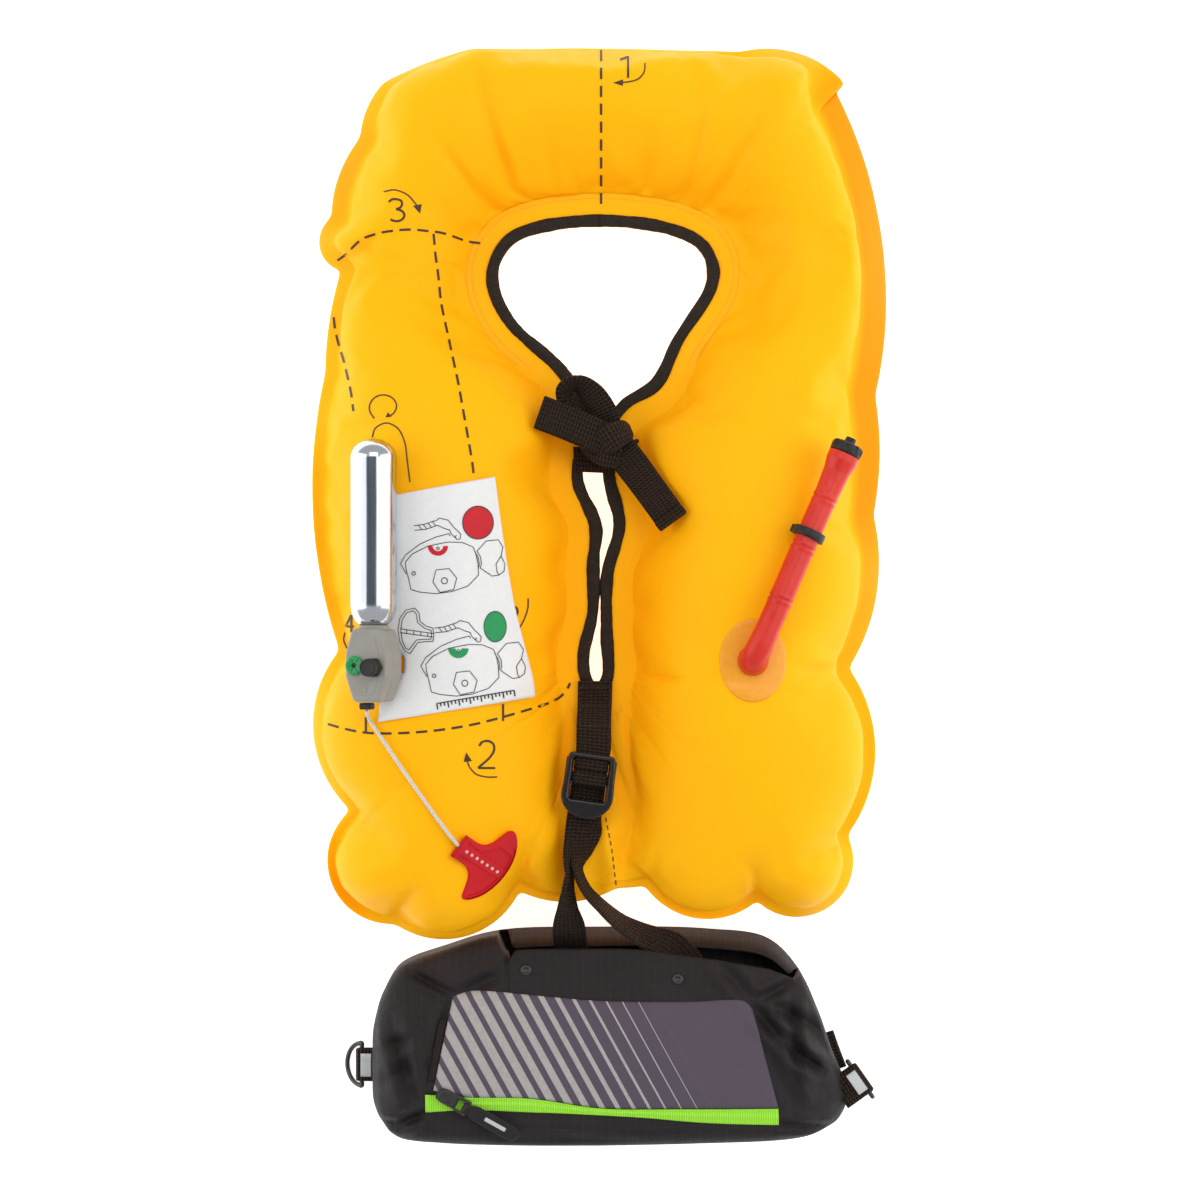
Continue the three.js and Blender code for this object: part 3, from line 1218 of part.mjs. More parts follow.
// End of the belt webbing, sewn to the pouch's right end
function makeStub() {
  const strip = ribbon([
    { x: 127, y: -245, z: 15, across: 18, width: 9 },
    { x: 130.5, y: -255, z: 15, across: 18, width: 9 },
    { x: 134.5, y: -265.5, z: 14, across: 18, width: 9 },
  ], WEBBING_THICK);
  return geometryOf(clearOfPouch(strip));
}

addMesh(vest, 'belt_stub', makeStub(), 0x231d17, 0.8);

export default vest;
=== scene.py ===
"""Looks of an inflatable life vest: its yellow bladder, webbing, inflator, mouth tube, tag and belt pouch."""

import math

import bmesh
import bpy
import numpy as np
from mathutils import Matrix, Vector
from mathutils.bvhtree import BVHTree


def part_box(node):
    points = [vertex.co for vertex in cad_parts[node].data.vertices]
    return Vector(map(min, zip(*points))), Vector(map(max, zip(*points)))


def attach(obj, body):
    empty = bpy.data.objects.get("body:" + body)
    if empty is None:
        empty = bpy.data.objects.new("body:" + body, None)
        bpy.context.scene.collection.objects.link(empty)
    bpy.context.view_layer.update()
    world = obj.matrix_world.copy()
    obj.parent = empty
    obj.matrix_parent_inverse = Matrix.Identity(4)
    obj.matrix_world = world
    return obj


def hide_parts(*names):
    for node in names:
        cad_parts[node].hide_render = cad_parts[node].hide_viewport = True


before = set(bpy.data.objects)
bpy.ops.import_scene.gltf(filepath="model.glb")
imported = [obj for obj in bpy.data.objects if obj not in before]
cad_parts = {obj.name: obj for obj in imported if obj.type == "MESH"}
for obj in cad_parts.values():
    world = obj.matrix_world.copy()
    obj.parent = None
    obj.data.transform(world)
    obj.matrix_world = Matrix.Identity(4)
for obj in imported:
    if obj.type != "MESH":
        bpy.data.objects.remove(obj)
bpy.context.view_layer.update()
MM = 0.001
BODY = "vest"

# Camera: straight above, and as far away as the photograph's perspective suggests
PIXELS = 1200
PIXELS_PER_MM = 1.8
SEAM_Z = 54.0
CAMERA = np.array([-0.3, -1.1, 2600.0])
SENSOR = 36.0


def make_camera():
    data = bpy.data.cameras.new("camera")
    data.sensor_width = SENSOR
    data.lens = SENSOR * (CAMERA[2] - SEAM_Z) / (PIXELS / PIXELS_PER_MM)
    camera = bpy.data.objects.new("camera", data)
    camera.location = CAMERA * MM
    bpy.context.scene.collection.objects.link(camera)
    bpy.context.scene.camera = camera


make_camera()


class Term:
    """A shader socket that is used in sums like a number."""

    def __init__(self, finish, socket):
        self.finish = finish
        self.socket = socket

    def math(self, operation, *others):
        values = dict(enumerate((self, *others)))
        return self.finish.add("ShaderNodeMath", {"operation": operation}, values)

    def __add__(self, other):
        return self.math("ADD", other)

    def __sub__(self, other):
        return self.math("SUBTRACT", other)

    def __rsub__(self, other):
        return self * -1 + other

    def __mul__(self, other):
        return self.math("MULTIPLY", other)

    def __truediv__(self, other):
        return self.math("DIVIDE", other)

    __radd__ = __add__
    __rmul__ = __mul__

    def wave(self, length):
        """Sine from -1 to 1 that repeats at each length."""
        return (self * (2 * math.pi / length)).math("SINE")

    def band(self, length, share):
        """1 over that share of each length, and 0 elsewhere."""
        return (self / length).math("FRACT").math("LESS_THAN", share)

    def above(self, level):
        return self.math("GREATER_THAN", level)

    def ramp(self, low, high):
        """0 at low and under, 1 at high and over."""
        return self.finish.add("ShaderNodeMapRange", {"interpolation_type": "SMOOTHSTEP"},
                               {0: self, 1: low, 2: high})


class Finish:
    """A material: its shader's plain values, and the one way that a node is added to it."""

    def __init__(self, name, color, roughness, **sockets):
        self.material = bpy.data.materials.new(name)
        self.material.use_nodes = True
        self.tree = self.material.node_tree
        self.shader = self.tree.nodes["Principled BSDF"]
        self.color = color
        self.material.diffuse_color = (*color, 1)
        values = {"Base Color": (*color, 1), "Roughness": roughness, **sockets}
        for socket, value in values.items():
            self.shader.inputs[socket].default_value = value

    def add(self, kind, settings, inputs, out=0):
        node = self.tree.nodes.new(kind)
        for key, value in settings.items():
            setattr(node, key, value)
        for key, value in inputs.items():
            self.feed(node.inputs[key], value)
        return Term(self, node.outputs[out])

    def feed(self, socket, value):
        if isinstance(value, Term):
            self.tree.links.new(value.socket, socket)
        elif socket.type == "RGBA" and len(value) == 3:
            socket.default_value = (*value, 1)
        else:
            socket.default_value = value

    def drive(self, socket, value):
        self.feed(self.shader.inputs[socket], value)

    def place(self):
        """Object coordinates, in metres."""
        return self.add("ShaderNodeTexCoord", {}, {}, "Object")

    def cloth(self):
        """Millimetres across and along a strap or cloth, as its mesh holds them."""
        chart = self.add("ShaderNodeAttribute", {"attribute_name": "cloth"}, {}, "Vector")
        return self.parts(chart)

    def parts(self, vector):
        split = self.add("ShaderNodeSeparateXYZ", {}, {0: vector})
        return [Term(self, output) for output in split.socket.node.outputs]

    def noise(self, scale, detail=2, vector=None, distortion=0):
        return self.add("ShaderNodeTexNoise", {}, {
            "Vector": vector or self.place(), "Scale": scale, "Detail": detail, "Distortion": distortion,
        })

    def mix(self, low, high, factor):
        return self.add("ShaderNodeMix", {"data_type": "RGBA"}, {0: factor, 6: low, 7: high}, 2)

    def bump(self, height, distance, strength=1.0):
        """Relief of that height in metres, added to the shader's normal."""
        self.drive("Normal", self.add("ShaderNodeBump", {}, {
            "Height": height, "Distance": distance, "Strength": strength,
        }))


def shade(color, part):
    return tuple(channel * part for channel in color)


# Finishes
def coated_cloth():
    """Yellow coated cloth: a fine weave under a soft, uneven coating, and an orange emission, a painted glow
    that keeps even its shaded parts bright orange.
    """
    # The orange emission is painted light: the cloth glows, so shaded parts stay bright orange.
    finish = Finish("bladder_cloth", (0.98, 0.46, 0.004), 0.5, **{
        "Specular IOR Level": 0.08, "Emission Color": (0.12, 0.012, 0.0, 1), "Emission Strength": 1.0,
    })
    _, _, rim = finish.cloth()
    x, y, z = finish.parts(finish.place())
    weave = (x.wave(0.0011) + y.wave(0.0011)) * 0.25 + z.wave(0.0011) * 0.15
    soft = finish.noise(14, 3)
    fine = finish.noise(160, 2)
    tone = finish.mix((0.98, 0.54, 0.005), (0.94, 0.48, 0.003), soft)
    # Flange rows are mixed towards a deeper orange, most on wide flanges: painted shade where the lobes
    # overhang them.
    finish.drive("Base Color", finish.mix(tone, (0.92, 0.33, 0.001), rim))
    finish.drive("Roughness", 0.44 + fine * 0.12)
    finish.bump(weave + soft * 6 + fine * 0.8, 0.0001, 0.5)
    return finish


def ink():
    finish = Finish("fold_ink", (0.045, 0.022, 0.006), 0.6)
    grain = finish.noise(900, 2)
    finish.drive("Base Color", finish.mix((0.035, 0.017, 0.005), (0.075, 0.038, 0.008), grain))
    return finish


def webbing(name="webbing", color=(0.021, 0.0122, 0.0075)):
    """Ribbed webbing: picks across the strap, broken into columns of yarn, with painted highlight on the
    raised ribs and painted shade between them.
    """
    finish = Finish(name, color, 0.8, **{"Sheen Weight": 0.02, "Specular IOR Level": 0.2})
    across, along, _ = finish.cloth()
    column = across.wave(2.6)
    rib = (along + column * 0.25).wave(1.9)
    fuzz = finish.noise(700, 2)
    # Colour follows the relief, lighter on raised ribs and columns and darker between them: painted highlight
    # and shade.
    high = rib * 0.35 + column * 0.15 + 0.5
    finish.drive("Base Color", finish.mix(shade(color, 0.25), shade(color, 2.6), high * (fuzz + 0.3)))
    finish.drive("Roughness", 0.9 - high * 0.2)
    finish.bump(rib + column * 0.4 + fuzz * 0.4, 0.0004, 1.0)
    return finish


def binding_tape():
    """Folded tape with a finer rib, a stitch line and slight gathers."""
    finish = Finish("binding_tape", (0.013, 0.0095, 0.007), 0.78, **{"Specular IOR Level": 0.3})
    across, along, _ = finish.cloth()
    rib = along.wave(0.9)
    gather = finish.noise(220, 3)
    stitch = along.band(3.2, 0.62) * (across - 1.9).math("ABSOLUTE").math("LESS_THAN", 0.28)
    finish.drive("Base Color", finish.mix((0.008, 0.0055, 0.004), (0.032, 0.023, 0.017),
                                          gather + stitch * 0.4))
    finish.bump(rib * 0.5 + gather * 4 + stitch * 2, 0.00016, 0.9)
    return finish


def moulded(name, color, roughness=0.45, grain=0.25, coat=0.0):
    """Moulded plastic with a fine grain and a broad, uneven tone."""
    finish = Finish(name, color, roughness, **{"Coat Weight": coat, "Specular IOR Level": 0.35})
    fine = finish.noise(1500, 2)
    broad = finish.noise(90, 3)
    finish.drive("Base Color", finish.mix(shade(color, 0.82), shade(color, 1.15), broad))
    finish.drive("Roughness", roughness - 0.08 + fine * 0.16)
    finish.bump(fine, 0.00006, grain)
    return finish


def tube_rubber():
    finish = Finish("tube_rubber", (0.74, 0.028, 0.013), 0.32, **{"Specular IOR Level": 0.4})
    broad = finish.noise(60, 3)
    finish.drive("Base Color", finish.mix((0.58, 0.012, 0.007), (0.76, 0.036, 0.016), broad))
    finish.drive("Roughness", 0.28 + broad * 0.14)
    finish.bump(finish.noise(700, 2), 0.00004, 0.4)
    return finish


def patch_film():
    """Welded film over the bladder cloth, glossier and more orange."""
    finish = Finish("patch_film", (0.94, 0.38, 0.02), 0.34, **{"Specular IOR Level": 0.35})
    cells = finish.noise(420, 2)
    finish.drive("Base Color", finish.mix((0.90, 0.33, 0.015), (0.98, 0.45, 0.035), cells))
    finish.bump(cells, 0.00012, 0.5)
    return finish


def zinc_steel():
    """Bright zinc on a drawn steel bottle, with faint lines along it."""
    finish = Finish("zinc_steel", (0.74, 0.76, 0.78), 0.24, Metallic=1.0)
    x, y, z = finish.parts(finish.place())
    streak = finish.noise(60, 4)
    drawn = finish.add("ShaderNodeTexNoise", {}, {
        "Vector": finish.add("ShaderNodeCombineXYZ", {}, {0: x * 900, 1: y * 25, 2: z * 900}), "Scale": 1.0,
    })
    finish.drive("Base Color", finish.mix((0.50, 0.53, 0.57), (0.63, 0.66, 0.69), drawn * 0.5 + streak * 0.5))
    finish.drive("Roughness", 0.10 + drawn * 0.10)
    finish.bump(drawn, 0.00003, 0.4)
    return finish


def card():
    finish = Finish("card", (0.86, 0.86, 0.85), 0.5, **{"Coat Weight": 0.1})
    fibre = finish.noise(380, 4)
    finish.drive("Base Color", finish.mix((0.80, 0.80, 0.79), (0.90, 0.90, 0.89), fibre))
    finish.drive("Roughness", 0.42 + fibre * 0.2)
    finish.bump(fibre, 0.00005, 0.5)
    return finish


def braid():
    """Braided cord: two sets of strands that cross round it."""
    finish = Finish("cord_braid", (0.84, 0.83, 0.79), 0.8, **{"Sheen Weight": 0.2})
    around, along, _ = finish.cloth()
    strand = (along + around * 1.2).wave(2.1) + (along - around * 1.2).wave(2.1)
    finish.drive("Base Color", finish.mix((0.62, 0.61, 0.57), (0.90, 0.89, 0.86), strand * 0.25 + 0.5))
    finish.bump(strand, 0.00018, 0.8)
    return finish


def ripstop(name="pouch_cloth", color=(0.0165, 0.0118, 0.0128)):
    """Ripstop cloth: a plain weave with a grid of heavier threads, over rumples painted lighter on their
    crests and darker in their hollows as painted sheen and shade.
    """
    finish = Finish(name, color, 0.65, **{"Specular IOR Level": 0.32})
    across, along, _ = finish.cloth()
    grid = across.band(5.0, 0.13).math("MAXIMUM", along.band(5.0, 0.13))
    weave = across.wave(0.8) * along.wave(0.8)
    rumple_and_painted_sheen = finish.noise(35, 4)
    # The rumple noise lightens the colour where the cloth rises and darkens it where it sinks: painted sheen
    # and shade.
    finish.drive("Base Color", finish.mix(shade(color, 0.4), shade(color, 1.7), grid * 0.12 + rumple_and_painted_sheen * 0.6))
    finish.drive("Roughness", 0.64 - grid * 0.06 + weave * 0.05)
    finish.bump(grid * 0.7 + weave * 0.35 + rumple_and_painted_sheen * 5, 0.00016, 0.8)
    return finish


def panel_print():
    """Grey-purple cloth with slanted pale bars that thin out from left to right."""
    color = (0.105, 0.083, 0.115)
    finish = Finish("panel_cloth", color, 0.72, **{"Specular IOR Level": 0.3})
    across, along, _ = finish.cloth()
    weave = (across * 0.7 + along * 0.7).wave(0.9) * (across * 0.7 - along * 0.7).wave(0.9)
    slant = across + along * 0.55
    thin = 0.62 - slant.ramp(-62, 45) * 0.58
    bars = (slant / 9.0).math("FRACT").math("LESS_THAN", thin) * (1 - slant.ramp(40, 46))
    pale = finish.mix(color, (0.56, 0.53, 0.51), bars * 0.9)
    mottle = finish.noise(420, 3)
    finish.drive("Base Color", finish.mix(pale, shade(color, 0.7), mottle * 0.35))
    finish.bump(weave + finish.noise(30, 3) * 4, 0.00012, 0.7)
    return finish


def zip_cloth():
    finish = Finish("zip_cloth", (0.33, 0.83, 0.02), 0.55)
    _, along, _ = finish.cloth()
    rib = along.wave(1.3)
    finish.drive("Base Color", finish.mix((0.25, 0.70, 0.012), (0.40, 0.90, 0.04), rib * 0.5 + 0.5))
    finish.bump(rib, 0.00014, 0.8)
    return finish


def reflective_tape():
    finish = Finish("reflective_tape", (0.60, 0.61, 0.62), 0.34, Metallic=0.35)
    across, along, _ = finish.cloth()
    bead = finish.noise(1600, 1)
    cell = (across + along).wave(1.4) * (across - along).wave(1.4)
    finish.drive("Base Color", finish.mix((0.46, 0.47, 0.48), (0.72, 0.73, 0.74), bead))
    finish.bump(cell + bead, 0.00008, 0.6)
    return finish


def satin_black_metal():
    finish = Finish("ring_metal", (0.015, 0.014, 0.013), 0.34, **{"Coat Weight": 0.4, "Coat Roughness": 0.25})
    fine = finish.noise(300, 3)
    finish.drive("Base Color", finish.mix((0.010, 0.009, 0.009), (0.026, 0.025, 0.024), fine))
    finish.drive("Roughness", 0.28 + fine * 0.16)
    finish.bump(fine, 0.00004, 0.4)
    return finish


CLOTH = coated_cloth()
INK = ink()
WELD = moulded("weld_line", (0.95, 0.42, 0.004), 0.5)
WEBBING = webbing()
TAPE = binding_tape()
LOCK_BLACK = moulded("lock_plastic", (0.012, 0.010, 0.009), 0.3, 0.15, 0.3)
VALVE_BLACK = moulded("valve_plastic", (0.014, 0.013, 0.012), 0.42)
RUBBER = tube_rubber()
FILM = patch_film()
GREY = moulded("inflator_plastic", (0.31, 0.295, 0.262), 0.5, 0.5)
GREEN = moulded("indicator_plastic", (0.008, 0.30, 0.075), 0.35, 0.2, 0.2)
ZINC = zinc_steel()
CARD = card()
PRINT_DARK = moulded("card_ink", (0.03, 0.03, 0.03), 0.6)
PRINT_RED = moulded("card_red", (0.62, 0.01, 0.02), 0.55)
PRINT_GREEN = moulded("card_green", (0.02, 0.33, 0.10), 0.55)
THREAD = moulded("thread", (0.03, 0.026, 0.023), 0.7)
HANDLE_RED = moulded("handle_plastic", (0.60, 0.002, 0.010), 0.5, 0.3)
HANDLE_PALE = moulded("handle_mark", (0.78, 0.50, 0.48), 0.5)
BRAID = braid()
RIPSTOP = ripstop()
PANEL = panel_print()
ZIP_GREEN = zip_cloth()
REFLECTIVE = reflective_tape()
RING_BLACK = satin_black_metal()


# Mesh helpers, all in millimetres until a piece is made
def piece(name, points, faces, finish, node=None, slot=None, body=BODY, chart=None, smooth=True):
    """One object from points in millimetres; chart is its cloth coordinates, node the solid it replaces."""
    mesh = bpy.data.meshes.new(name)
    mesh.from_pydata((np.asarray(points, float) * MM).tolist(), [], [list(face) for face in faces])
    mesh.validate()
    tidy = bmesh.new()
    tidy.from_mesh(mesh)
    bmesh.ops.recalc_face_normals(tidy, faces=tidy.faces)
    tidy.to_mesh(mesh)
    tidy.free()
    if chart is not None:
        cloth = mesh.attributes.new("cloth", "FLOAT_VECTOR", "POINT")
        flat = np.zeros((len(mesh.vertices), 3))
        flat[:, :np.shape(chart)[1]] = chart
        cloth.data.foreach_set("vector", flat.ravel())
    if smooth:
        mesh.shade_smooth()
    mesh.materials.append(finish.material)
    thing = bpy.data.objects.new(name, mesh)
    bpy.context.scene.collection.objects.link(thing)
    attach(thing, body)
    if node:
        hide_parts(node)
    return thing


def grid_faces(rows, columns, ring_rows=False, ring_columns=False):
    """Quads over a grid of rows times columns of points, either way closed into a ring."""
    faces = []
    for i in range(rows if ring_rows else rows - 1):
        here = i * columns
        above = ((i + 1) % rows) * columns
        for j in range(columns if ring_columns else columns - 1):
            k = (j + 1) % columns
            faces.append((here + j, here + k, above + k, above + j))
    return faces


def lofted(sections, ring=False, capped=True):
    """Points and faces of a skin over cross-sections that are closed rings of points."""
    sections = np.asarray(sections, float)
    rows, columns = sections.shape[:2]
    faces = grid_faces(rows, columns, ring, True)
    if capped and not ring:
        faces.append(tuple(range(columns)))
        faces.append(tuple((rows - 1) * columns + j for j in reversed(range(columns))))
    return sections.reshape(-1, 3), faces


def curve(points, per, closed=False):
    """Points on a centripetal curve through the given ones, that many for each span."""
    points = np.asarray(points, float)
    if closed:
        knots = np.vstack([points[-1], points, points[0], points[1]])
    else:
        knots = np.vstack([2 * points[0] - points[1], points, 2 * points[-1] - points[-2]])
    line = []
    for i in range(len(knots) - 3):
        a, b, c, d = knots[i:i + 4]
        t1 = math.sqrt(np.linalg.norm(b - a) + 1e-9)
        t2 = t1 + math.sqrt(np.linalg.norm(c - b) + 1e-9)
        t3 = t2 + math.sqrt(np.linalg.norm(d - c) + 1e-9)
        for t in np.linspace(t1, t2, per, endpoint=False):
            ab = (a * (t1 - t) + b * t) / t1
            bc = (b * (t2 - t) + c * (t - t1)) / (t2 - t1)
            cd = (c * (t3 - t) + d * (t - t2)) / (t3 - t2)
            abc = (ab * (t2 - t) + bc * t) / t2
            bcd = (bc * (t3 - t) + cd * (t - t1)) / (t3 - t1)
            line.append((abc * (t2 - t) + bcd * (t - t1)) / (t2 - t1))
    return np.array(line if closed else [*line, points[-1]])


def length_along(line):
    """Length along a line up to each of its points."""
    return np.concatenate([[0], np.cumsum(np.linalg.norm(np.diff(line, axis=0), axis=1))])


def smooth_line(points, count, closed=False):
    """Evenly spaced points on the curve through the given ones."""
    dense = curve(points, 24, closed)
    if closed:
        dense = np.vstack([dense, dense[0]])
    run = length_along(dense)
    wanted = np.linspace(0, run[-1], count, endpoint=not closed)
    return np.column_stack([np.interp(wanted, run, dense[:, k]) for k in range(dense.shape[1])])


def smoothstep(value, low, high):
    part = np.clip((value - low) / (high - low), 0, 1)
    return part * part * (3 - 2 * part)


def ripple(points, scale, seed):
    """Soft unevenness from -1 to 1, the same in each run: a few sines that run different ways."""
    chance = np.random.default_rng(seed)
    total = np.zeros(len(points))
    for _ in range(6):
        way = chance.normal(size=3)
        way /= np.linalg.norm(way)
        length = scale * chance.uniform(0.6, 1.6)
        total += np.sin(points @ way * (2 * math.pi / length) + chance.uniform(0, 6.28))
    return total / 4


# Bladder: driving sizes and tables, in millimetres
COLLAR_DROP = 18
COLLAR_FROM_Y = 100
COLLAR_TO_Y = 235
SWELL = 0.92
NECK_WELD = 15
NECK_EDGE = 1.4
SHEET_HALF = 0.7
SLIT_SOFT = 13
NECK_SOFT = 30
FLANGE_DROOP = 0.65
FLANGE_WAVE = 2.2
EDGE_STEP = 5.2
SWELL_ROWS = 28
FLANGE_ROWS = 3
PRESSURE = 2.2
MOST_MOVED = 5.0

# Flange edge, clockwise from the top left: pinch, swell past the chord, flange width, curl of the edge
SCALLOPS = np.array([
    (-72.5, 307.5, 2, 2, -10), (78.5, 306, 9.5, 8, -8), (137, 289.5, 0.5, 15, -6), (132.5, 284, 16, 18, -6),
    (153.5, 113, 3, 17, 2),
    (152.5, 46, 9, 12, -5), (138.5, -39, 15, 7.5, 5), (137.5, -132, 27, 6, -5), (87, -168.5, 14, 4.5, 4),
    (24.5, -160, 0.5, 4.5, 0), (9, -161, 7, 4.5, 3), (-45, -163, 17, 4.5, -4), (-114.5, -181.5, 24, 5, 5),
    (-139.5, -118, 18, 6, -5), (-145.5, -29, 10.5, 7, 4), (-153.5, 125, 2, 8, 0), (-145.5, 183, 10, 9, -6),
    (-151, 214, 4.5, 12, -4), (-135, 258.5, 3, 8, -3), (-122, 289, 2.5, 4, -8),
])
# Middle of the binding tape, clockwise from the top of the neck and round the slit
NECK = np.array([
    (0, 211), (38, 206.5), (56, 198), (62.5, 186), (61.5, 173), (43, 143), (31, 119), (13, 107), (4, 92),
    (5, 66), (10.5, 41), (3.8, 13), (3.4, -18), (3.6, -45), (-2, -52), (-8, -45), (-9.5, -32), (-4.4, -8),
    (-4, 20), (-2.8, 40), (-12.5, 64), (-12, 76), (-4.2, 92), (-20, 124), (-50, 153), (-59.5, 172),
    (-59.5, 186), (-51, 200), (-35.5, 207),
])
# Flat web between the lobes: middle and half width
WEB = np.array([(-2, -50, 18), (-3, -112, 22), (-3, -140, 16), (0, -164, 10)])
# Places on the flange edge and on the tape that one cross-section joins
SPOKES = np.array([
    (3, 304, 0, 211), (120, 292, 50, 202), (160, 190, 62, 178), (153, 92, 4, 92), (138.5, -39, 3.6, -41),
    (3, -162, -2, -52), (-145.5, -29, -8.6, -39), (-155, 92, -4.2, 92), (-146, 183, -59.8, 180),
    (-125, 280, -45, 203),
])
# Soft creases over the collar and beside the pinches: from, to, depth, half width
CREASES = np.array([
    (-66, 286, -50, 228, 3, 7), (-92, 255, -68, 222, 2.5, 7), (57, 276, 50, 232, 2.5, 7),
    (92, 270, 66, 225, 3, 7), (-30, 262, -26, 226, 1.2, 5), (28, 258, 26, 226, 1.2, 5),
    (-150, 186, -128, 196, 3.5, 5), (140, -39, 124, -52, 4, 6), (140, -133, 116, -140, 3.5, 6),
    (-141, -118, -116, -134, 4, 6), (-147, -29, -128, -24, 3.5, 6), (88, -170, 84, -148, 3.5, 6),
    (-46, -164, -44, -140, 3.5, 6), (-116, -183, -104, -162, 3.5, 6),
])
# Sharp puckers that the air pulls into the cloth: from, to, depth, half width
PUCKERS = np.array([
    (-66, 280, -48.5, 221, 1.7, 2.2), (-57, 254, -44, 222, 1.0, 2.0), (-88, 250, -68, 222, 1.6, 2.2),
    (59, 272, 48.5, 221, 1.4, 2.2), (66, 254, 55, 222, 0.9, 2.0), (91, 268, 65, 222, 1.6, 2.4),
    (-148, 186, -122, 198, 2.4, 2.4), (-150, 214, -134, 214, 1.4, 2.2), (-136, 256, -121, 246, 1.3, 2.2),
    (157, 212, 143, 199, 1.8, 2.2), (143, 199, 131, 201, 2.2, 2.2), (143, 199, 146, 170, 1.2, 2.4),
    (152, 46, 138, 52, 2.0, 2.4), (152, 46, 141, 30, 1.4, 2.2), (139, -38, 122, -46, 2.0, 2.4),
    (139, -132, 124, -142, 2.4, 2.4), (124, -142, 112, -143, 1.2, 2.0), (87, -168, 84, -147, 2.2, 2.4),
    (25, -158, 32, -140, 1.6, 2.2), (-46, -163, -43, -141, 2.2, 2.4), (-116, -180, -103, -160, 2.2, 2.4),
    (-140, -118, -117, -131, 2.4, 2.4), (-145, -29, -129, -24, 2.0, 2.4), (-152, 124, -139, 118, 1.6, 2.4),
    (-146, 160, -143, 108, 0.9, 2.6), (-141, 150, -139, 110, 0.7, 2.4), (46, 96, 30, 88, 1.2, 2.2),
])
# Pleat of the web under the adjuster: from, to, height, half width
PLEAT = np.array([(4, -128, 7, -163, -5, 4.5)])


def seam_height(y):
    return SEAM_Z - COLLAR_DROP * smoothstep(y, COLLAR_FROM_Y, COLLAR_TO_Y)


def flange_edge(step):
    """Arcs between the pinches: place, flange width, curl and nearness to the middle of the scallop."""
    edge = []
    for i, (x, y, bulge, flange, lift) in enumerate(SCALLOPS):
        after = SCALLOPS[(i + 1) % len(SCALLOPS)]
        chord = after[:2] - (x, y)
        length = np.linalg.norm(chord)
        out = np.array([-chord[1], chord[0]]) / length
        radius = (length ** 2 / 4 + bulge ** 2) / (2 * bulge)
        sweep = math.asin(min(1, length / 2 / radius))
        count = 2 * max(2, round(sweep * radius / step))
        for part in np.arange(count) / count:
            angle = -sweep + 2 * sweep * part
            along = 0.5 + radius * math.sin(angle) / length
            rise = radius * math.cos(angle) - (radius - bulge)
            swell = math.sin(math.pi * part)
            beside = SCALLOPS[i - 1] if part < 0.5 else after
            width = (flange + beside[3]) / 2 * (1 - swell) + flange * swell
            spot = np.array([x, y]) + chord * along + out * rise
            edge.append((*spot, width, lift * swell, swell))
    return np.array(edge)


FINE_EDGE = flange_edge(3)
FINE_NECK = smooth_line(NECK, 260, True)


def in_chunks(points, measure):
    return np.concatenate([measure(points[i:i + 3000]) for i in range(0, len(points), 3000)])


def distances(points, line):
    return np.sqrt(((points[:, None, :] - line[None, :, :2]) ** 2).sum(2))


def edge_room(points):
    return in_chunks(points, lambda p: (distances(p, FINE_EDGE) - FINE_EDGE[:, 2]).min(1))


def neck_room(points):
    return in_chunks(points, lambda p: distances(p, FINE_NECK).min(1)) - NECK_WELD


def web_room(points):
    room = np.full(len(points), 1e9)
    for a, b in zip(WEB, WEB[1:]):
        span = b[:2] - a[:2]
        part = np.clip((points - a[:2]) @ span / (span @ span), 0, 1)
        away = np.linalg.norm(points - a[:2] - part[:, None] * span, axis=1)
        room = np.minimum(room, away - (a[2] + (b[2] - a[2]) * part))
    return room


def inner_room(points):
    return np.minimum(neck_room(points), web_room(points))


def weld_points(line, offset, room, closed=True):
    """A line moved sideways, kept where it is nowhere nearer than it should be, with its step lengths."""
    if closed:
        tangent = np.roll(line, -1, 0)[:, :2] - np.roll(line, 1, 0)[:, :2]
    else:
        tangent = 2 * np.gradient(line[:, :2], axis=0)
    length = np.linalg.norm(tangent, axis=1)
    side = np.column_stack([-tangent[:, 1], tangent[:, 0]]) / length[:, None]
    moved = line[:, :2] + side * np.asarray(offset)[:, None]
    kept = room(moved) > -0.4
    return np.column_stack([moved, length / 2])[kept]


def weld_distance(points, weld):
    """Smoothed distance from a weld, exact beside a straight one and rounded in its corners."""
    def measure(p):
        square = ((p[:, None, :] - weld[None, :, :2]) ** 2).sum(2)
        return np.cbrt(math.pi / 2 / (weld[:, 2] / (square ** 2 + 0.01)).sum(1))
    return in_chunks(points, measure)


def web_line():
    parts = np.arange(0, 1, 0.08)[:, None]
    return np.vstack([a + (b - a) * parts for a, b in zip(WEB, WEB[1:])])


OUTER_WELD = weld_points(FINE_EDGE, -FINE_EDGE[:, 2], edge_room)
INNER_WELD = np.vstack([
    weld_points(FINE_NECK, np.full(len(FINE_NECK), NECK_WELD), inner_room),
    weld_points(web_line(), web_line()[:, 2], inner_room, False),
    weld_points(web_line(), -web_line()[:, 2], inner_room, False),
])


def fold_depth(plan, folds):
    """Depth of soft folds along straight lines."""
    depth = np.zeros(len(plan))
    for x0, y0, x1, y1, deep, width in folds:
        span = np.array([x1 - x0, y1 - y0])
        part = np.clip((plan - (x0, y0)) @ span / (span @ span), 0, 1)
        away = np.linalg.norm(plan - (x0, y0) - part[:, None] * span, axis=1)
        depth += deep * np.exp(-(away / width) ** 2)
    return depth


